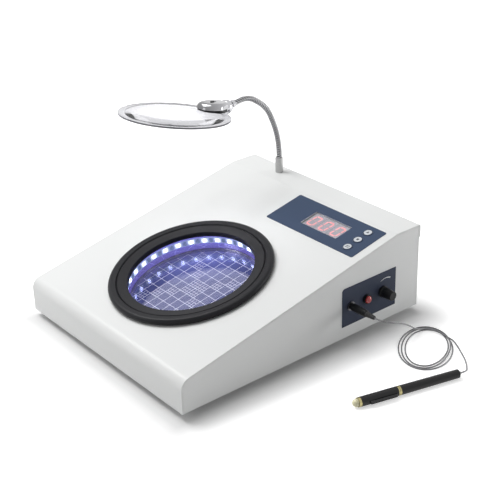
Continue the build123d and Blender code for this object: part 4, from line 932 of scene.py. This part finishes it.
@dataclass
class Magnifier:
    """The flexible neck's wound armour, and thin rings of painted shade on the lens."""

    post: Pair = (-81.5, 158.0)
    neck_base: float = 133.0
    ball_lead: float = 3.6
    socket: float = 5.0
    bends: tuple[Pair, ...] = ((48.8, 23.1), (27.7, 30.7), (25.5, 44.4))
    wind_radius: float = 3.03
    wire_radius: float = 0.94
    wind_pitch: float = 9.6
    strands: int = 3
    wire_sides: int = 8
    points_a_turn: int = 22
    core_sides: int = 24
    line_step: float = 2.0
    line_ends: Pair = (1.2, 0.3)
    bend_reach: Pair = (3.0, 14.0)
    ring_sides: int = 128
    ring_wall: float = 0.06
    bodies: tuple[str, ...] = (
        "magnifier_post", "neck_lower", "neck_middle", "neck_upper", "magnifier_head",
    )
    joints: list[Vector] = field(default_factory=list)
    line: list[Vector] = field(default_factory=list)
    halves: list[int] = field(default_factory=list)
    lens_centre: Triple = (-81.5, -0.84, 229.59)
    lens_across: Triple = (0.99919, 0.0, 0.04013)
    lens_along: Triple = (0.00676, 0.98573, -0.16822)
    # Rings of painted shade on the lens: radius, low and high, in millimetres
    lens_shade_rings: tuple[tuple[float, float, float], ...] = ((66.41, -1.0, 1.0), (58.2, 1.0, 1.5))

    def trace(self) -> None:
        """Walk the neck's centreline and note its joints and each stretch's middle."""
        place, lean = Vector((self.post[0], self.post[1], self.neck_base)), 0.0
        self.joints.append(place.copy())
        self.line.append(place - Vector((0, 0, self.line_ends[0])))

        def ahead() -> Vector:
            """Point along the neck at its present lean."""
            return Vector((0, -math.sin(lean), math.cos(lean)))

        for length, angle in self.bends:
            place = place + ahead() * self.ball_lead
            self.line.append(place.copy())
            steps = max(8, int(length / self.line_step))
            for i in range(steps):
                lean += math.radians(angle) / steps / 2
                place = place + ahead() * (length / steps)
                lean += math.radians(angle) / steps / 2
                self.line.append(place.copy())
                if i == steps // 2:
                    self.halves.append(len(self.line) - 1)
            place = place + ahead() * self.socket
            self.line.append(place.copy())
            self.joints.append(place.copy())
        self.line.append(place + ahead() * (self.ball_lead - self.line_ends[1]))

    def armour_tree(self) -> bpy.types.NodeTree:
        """Build the tree that winds a few wires round a line over a near-black core, which paints
        the shade in the gaps between the wires.
        """
        wiring = Wiring.grower(
            "wound_armour", line=GEOMETRY, wind_radius=NUMBER, wire_radius=NUMBER, pitch=NUMBER,
            start_turn=OFFSET, points_a_turn=AMOUNT, sides=AMOUNT,
        )
        given = wiring.start.outputs
        line = wiring.add("GeometryNodeMeshToCurve", {0: given["Line"]}).outputs[0]
        length = wiring.add("GeometryNodeCurveLength", {0: line}).outputs[0]
        turns = wiring.math("DIVIDE", length, given["Pitch"])
        points = wiring.math("ROUND", wiring.math("MULTIPLY", turns, given["Points A Turn"]))
        count = wiring.math("ADD", points, 1.0)
        wire = wiring.add("GeometryNodeMeshLine", {"Count": count, "Offset": (0, 0, 0)})
        index = wiring.add("GeometryNodeInputIndex").outputs[0]
        share = wiring.math("DIVIDE", index, wiring.math("SUBTRACT", count, 1.0))
        sockets = {"Curves": line, "Factor": share}
        spot = wiring.add("GeometryNodeSampleCurve", sockets, mode="FACTOR", use_all_curves=True)
        across = wiring.vector("CROSS_PRODUCT", spot.outputs["Tangent"], (1.0, 0.0, 0.0))
        across = wiring.vector("NORMALIZE", across)
        wires = wiring.add("GeometryNodeJoinGeometry")
        for strand in range(self.strands):
            first = wiring.math("ADD", given["Start Turn"], strand / self.strands)
            angle = wiring.math("MULTIPLY_ADD", share, turns, first)
            angle = wiring.math("MULTIPLY", angle, 2 * math.pi)
            out, rise = (
                wiring.math("MULTIPLY", wiring.math(wave, angle), given["Wind Radius"])
                for wave in ("COSINE", "SINE")
            )
            placed = wiring.add("GeometryNodeSetPosition", {
                "Geometry": wire.outputs[0], "Position": spot.outputs["Position"],
                "Offset": wiring.vector("ADD", wiring.xyz(out), wiring.scaled(across, rise)),
            })
            wiring.feed(wires.inputs[0], placed.outputs[0])
        helix = wiring.add("GeometryNodeMeshToCurve", {0: wires.outputs[0]}).outputs[0]
        both = wiring.add("GeometryNodeJoinGeometry")
        layers = (
            (helix, given["Sides"], given["Wire Radius"], ARMOUR),
            (line, self.core_sides, given["Wind Radius"], ARMOUR_SHADE_CORE),
        )
        for path, sides, radius, finish in layers:
            sockets = {"Resolution": sides, "Radius": radius}
            section = wiring.add("GeometryNodeCurvePrimitiveCircle", sockets).outputs[0]
            sockets = {0: path, 1: section, "Fill Caps": True}
            swept = wiring.add("GeometryNodeCurveToMesh", sockets).outputs[0]
            if finish is ARMOUR:
                swept = wiring.add("GeometryNodeSetShadeSmooth", {"Geometry": swept}).outputs[0]
            sockets = {"Geometry": swept, "Material": finish.material()}
            dressed = wiring.add("GeometryNodeSetMaterial", sockets)
            wiring.feed(both.inputs[0], dressed.outputs[0])
        real = wiring.add("GeometryNodeRealizeInstances", {0: both.outputs[0]})
        wiring.feed(wiring.end.inputs[0], real.outputs[0])
        return wiring.tree

    def build_armour(self) -> None:
        """Wind the armour in pieces, each running over one joint."""
        tree = self.armour_tree()
        cuts = [0, *self.halves, len(self.line) - 1]
        turn = 0.0
        for number, (first, last) in enumerate(zip(cuts, cuts[1:])):
            points = self.line[first:last + 1]
            seed = bpy.data.meshes.new("neck_line")
            edges = [(i, i + 1) for i in range(len(points) - 1)]
            seed.from_pydata([p[:] for p in points], edges, [])
            length = sum((b - a).length for a, b in zip(points, points[1:]))
            piece = grown(f"armour_{number + 1}", tree, {
                "Wind Radius": self.wind_radius, "Wire Radius": self.wire_radius,
                "Pitch": self.wind_pitch, "Start Turn": turn,
                "Points A Turn": self.points_a_turn, "Sides": self.wire_sides,
            }, seed)
            turn += length / self.wind_pitch
            piece.data.transform(Matrix.Scale(MM, 4))
            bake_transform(piece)
            if number:
                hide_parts(self.bodies[number])
            LOG.info("%s: %d faces", piece.name, len(piece.data.polygons))

    def build_lens_shade_rings(self) -> None:
        """Lay thin grey rings at the lens's ground edge and at the step round its flange, as
        painted shade.
        """
        across, along = Vector(self.lens_across), Vector(self.lens_along)
        turn = Matrix((across, along, across.cross(along))).transposed().to_4x4()
        place = Matrix.Scale(MM, 4) @ Matrix.Translation(self.lens_centre) @ turn
        shape = bmesh.new()
        for inner, low, high in self.lens_shade_rings:
            outer = inner + self.ring_wall
            rows = []
            for radius, height in ((inner, low), (outer, low), (outer, high), (inner, high)):
                angles = (2 * math.pi * i / self.ring_sides for i in range(self.ring_sides))
                spots = ((radius * math.cos(a), radius * math.sin(a), height) for a in angles)
                rows.append([shape.verts.new(spot) for spot in spots])
            for near, far in zip(rows, rows[1:] + rows[:1]):
                for i in range(self.ring_sides):
                    j = (i + 1) % self.ring_sides
                    shape.faces.new((near[i], near[j], far[j], far[i]))
        settle(mesh_object("lens_shade_rings", shape, LENS_RIM_SHADE, place), "magnifier_head", Slot.HEAD)

    def build(self) -> None:
        """Build the magnifier's pieces."""
        self.trace()
        self.build_armour()
        self.build_lens_shade_rings()


# Pen lead


@dataclass
class PenLead:
    """The thin lead from the side jack to the counting pen, in three loose turns."""

    diameter: float = 1.7
    length: float = 0.90
    exit: Triple = (188.7, 63.5, 47.2)
    lead: tuple[Triple, ...] = (
        (188.7, 63.5, 47.2), (196.2, 63.5, 47.2), (203.2, 71.0, 45.0), (205.0, 84.0, 40.0),
        (203.5, 98.0, 32.5), (199.0, 112.0, 22.0), (193.0, 125.0, 11.5), (189.0, 136.5, 4.5),
        (190.0, 147.0, 1.5), (197.0, 153.0, 0.9), (204.5, 154.0, 0.9),
    )
    tail: tuple[Triple, ...] = (
        (222.0, 149.5, 2.8), (230.5, 149.0, 2.8), (241.0, 144.5, 1.6), (253.0, 137.5, 0.9),
        (264.0, 130.5, 1.1), (271.5, 124.0, 2.1), (279.0, 116.5, 3.5), (286.04, 108.0, 5.25),
        (284.08, 100.8, 5.55),
    )
    coil_centre: Pair = (218.0, 117.5)
    coil_half: Pair = (50.0, 33.0)
    coil_turn: float = -49.5
    coil_start: float = 151.0
    coil_step: float = 30.0
    coil_lead: float = 0.9
    rest_height: float = 0.9
    reaches: tuple[float, ...] = (
        0.89, 0.93, 0.95, 0.96, 0.97, 0.99, 1.00, 0.98, 0.96, 0.95, 0.95, 0.92,
        0.89, 0.85, 0.82, 0.85, 0.91, 0.94, 0.91, 0.86, 0.86, 0.88, 0.89, 0.86,
        0.82, 0.77, 0.73, 0.75, 0.82, 0.85, 0.79, 0.73, 0.73, 0.77, 0.81, 0.79,
    )
    lifts: dict[int, float] = field(default_factory=lambda: {13: 2.8, 12: 1.8, 14: 1.8, 35: 2.2})

    def coil(self) -> list[Triple]:
        """Lay the loose turns, twelve points to each."""
        tilt = math.radians(self.coil_turn)
        points = []
        for i, reach in enumerate(self.reaches):
            angle = math.radians(self.coil_start - self.coil_step * (i + self.coil_lead))
            x = reach * self.coil_half[0] * math.cos(angle)
            y = reach * self.coil_half[1] * math.sin(angle)
            points.append((
                self.coil_centre[0] + x * math.cos(tilt) - y * math.sin(tilt),
                self.coil_centre[1] + x * math.sin(tilt) + y * math.cos(tilt),
                self.lifts.get(i, self.rest_height),
            ))
        return points

    def build(self) -> None:
        """Lay the lead as one smooth line, in place of the frame's cord pieces."""
        route = [*self.lead, *self.coil(), *self.tail]
        curve = bpy.data.curves.new("pen_lead_cord", "CURVE")
        curve.dimensions = "3D"
        spline = curve.splines.new("NURBS")
        spline.points.add(len(route) - 1)
        for point, place in zip(spline.points, route):
            point.co = (*(v * MM for v in place), 1.0)
        spline.order_u = 3
        spline.use_endpoint_u = True
        spline.resolution_u = 6
        curve.bevel_depth = self.diameter / 2 * MM
        curve.bevel_resolution = 3
        curve.use_fill_caps = True
        curve.materials.append(CORD.material())
        cord = stand("pen_lead_cord", curve)
        settle(cord, "pen_lead", Slot.CORD, "pen_cord_lead", "pen_cord_coil", "pen_cord_tail")


# Stage


@dataclass
class Stage:
    """The plain pale floor, soft lamps and the camera."""

    eye: Triple = (0.9705, -0.7353, 0.6914)
    right: Triple = (0.6347, 0.7723, -0.0271)
    up: Triple = (-0.3304, 0.3030, 0.8939)
    ahead: Triple = (-0.6986, 0.5584, -0.4474)
    focal_length: float = 83.27
    floor_size: float = 6.0
    floor_color: Triple = (0.86, 0.86, 0.86)
    floor_lift: float = 0.55
    painted_shadow_reach: float = 0.045
    far_floor: Pair = (0.3, 1.4)
    # Middle of the box round which the floor's painted shadow lies, a little off the case's own
    # middle
    painted_shadow_middle: Pair = (0.005, -0.010)
    case_half: Pair = (0.150, 0.176)
    world_strength: float = 0.21
    lamps: tuple[tuple[str, Triple, Triple, float, float], ...] = (
        ("key_lamp", (-0.85, -0.35, 1.45), (0.0, 0.0, 0.05), 0.9, 16.0),
        ("top_lamp", (-0.3, 0.1, 1.9), (0.0, 0.0, 0.05), 1.1, 11.2),
        ("fill_lamp", (0.65, 1.0, 0.24), (0.15, 0.16, 0.06), 0.40, 3.8),
        ("front_lamp", (-0.45, -1.05, 0.55), (-0.03, -0.16, 0.04), 0.5, 1.5),
    )

    @staticmethod
    def seen_directly(wiring: Wiring) -> bpy.types.NodeSocket:
        """Tell rays that show the backdrop, also through glass or in metal, from light."""
        path = wiring.add("ShaderNodeLightPath").outputs
        through = wiring.math("MAXIMUM", path["Is Glossy Ray"], path["Is Transmission Ray"])
        shown = wiring.math("MAXIMUM", path["Is Camera Ray"], through)
        return wiring.math("MULTIPLY", shown, wiring.math("LESS_THAN", path["Diffuse Depth"], 0.5))

    def build_floor(self) -> None:
        """Lay a floor that shows white away from the case, keeps a painted shadow round it, and
        hides nothing from below.
        """
        shape = bmesh.new()
        half = self.floor_size / 2
        square = ((-half, -half), (half, -half), (half, half), (-half, half))
        shape.faces.new([shape.verts.new((x, y, 0.0)) for x, y in square])
        mesh = bpy.data.meshes.new("floor")
        shape.to_mesh(mesh)
        shape.free()
        material = bpy.data.materials.new("pale_floor")
        material.use_nodes = True
        wiring = Wiring(material.node_tree)
        material.node_tree.nodes.clear()
        place = wiring.add("ShaderNodeNewGeometry").outputs["Position"]
        place = wiring.vector("SUBTRACT", place, (*self.painted_shadow_middle, 0.0))
        past = wiring.vector("SUBTRACT", wiring.vector("ABSOLUTE", place), (*self.case_half, 1.0))
        past = wiring.vector("MAXIMUM", past, (0.0, 0.0, 0.0))
        away = wiring.add("ShaderNodeVectorMath", {0: past}, operation="LENGTH").outputs["Value"]
        # Painted shadow: the floor's added glow is nil at the box round the case and rises over a
        # few centimetres, so a dark band stays round the case on top of the rendered shadow
        spread = wiring.ramp(away, 0.0, self.painted_shadow_reach, 0.0, self.floor_lift)
        beyond = wiring.ramp(away, *self.far_floor, 0.0, 1.0 - self.floor_lift)
        lift = wiring.math("ADD", spread, beyond)
        strength = wiring.math("MULTIPLY", lift, self.seen_directly(wiring))
        diffuse = wiring.add("ShaderNodeBsdfDiffuse", {"Color": (*self.floor_color, 1)})
        light = wiring.add("ShaderNodeEmission", {"Color": (1, 1, 1, 1), "Strength": strength})
        both = wiring.add("ShaderNodeAddShader", {0: diffuse.outputs[0], 1: light.outputs[0]})
        clear = wiring.add("ShaderNodeBsdfTransparent")
        under = wiring.add("ShaderNodeNewGeometry").outputs["Backfacing"]
        sockets = {0: under, 1: both.outputs[0], 2: clear.outputs[0]}
        one_sided = wiring.add("ShaderNodeMixShader", sockets)
        wiring.add("ShaderNodeOutputMaterial", {"Surface": one_sided.outputs[0]})
        mesh.materials.append(material)
        stand("floor", mesh)

    def build_world(self) -> None:
        """Light softly from all round, and show white behind."""
        world = bpy.data.worlds.new("studio")
        bpy.context.scene.world = world
        world.use_nodes = True
        wiring = Wiring(world.node_tree)
        world.node_tree.nodes.clear()
        soft, white = (
            wiring.add("ShaderNodeBackground", {"Color": (1, 1, 1, 1), "Strength": strength})
            for strength in (self.world_strength, 1.0)
        )
        seen = self.seen_directly(wiring)
        mix = wiring.add("ShaderNodeMixShader", {0: seen, 1: soft.outputs[0], 2: white.outputs[0]})
        wiring.add("ShaderNodeOutputWorld", {"Surface": mix.outputs[0]})

    @staticmethod
    def add_lamp(name: str, place: Triple, target: Triple, size: float, power: float) -> None:
        """Hang one soft square lamp that faces a point."""
        lamp = bpy.data.lights.new(name, "AREA")
        lamp.size = size
        lamp.energy = power
        holder = stand(name, lamp)
        holder.location = place
        way = Vector(target) - Vector(place)
        holder.rotation_euler = way.to_track_quat("-Z", "Y").to_euler()

    def build_camera(self) -> None:
        """Set the camera in the scene."""
        camera = bpy.data.cameras.new("camera")
        camera.sensor_width = 36.0
        camera.lens = self.focal_length
        camera.clip_start = 0.02
        holder = stand("camera", camera)
        turn = Matrix((self.right, self.up, [-v for v in self.ahead])).transposed()
        holder.matrix_world = Matrix.Translation(self.eye) @ turn.to_4x4()
        bpy.context.scene.camera = holder

    def build(self) -> None:
        """Build the floor, the world, the lamps and the camera."""
        self.build_floor()
        self.build_world()
        for lamp in self.lamps:
            self.add_lamp(*lamp)
        self.build_camera()
        bpy.context.scene.view_settings.view_transform = "Standard"


def main() -> None:
    """Build the pieces in order and report them."""
    logging.basicConfig(level=logging.INFO, format="%(name)s: %(message)s")
    Stage().build()
    PenLead().build()
    dress_frame()
    for part in (ViewingStation(), Display(), SideControls(), Magnifier()):
        part.build()
        LOG.info("built %s", type(part).__name__)


if __name__ == "__main__":
    main()
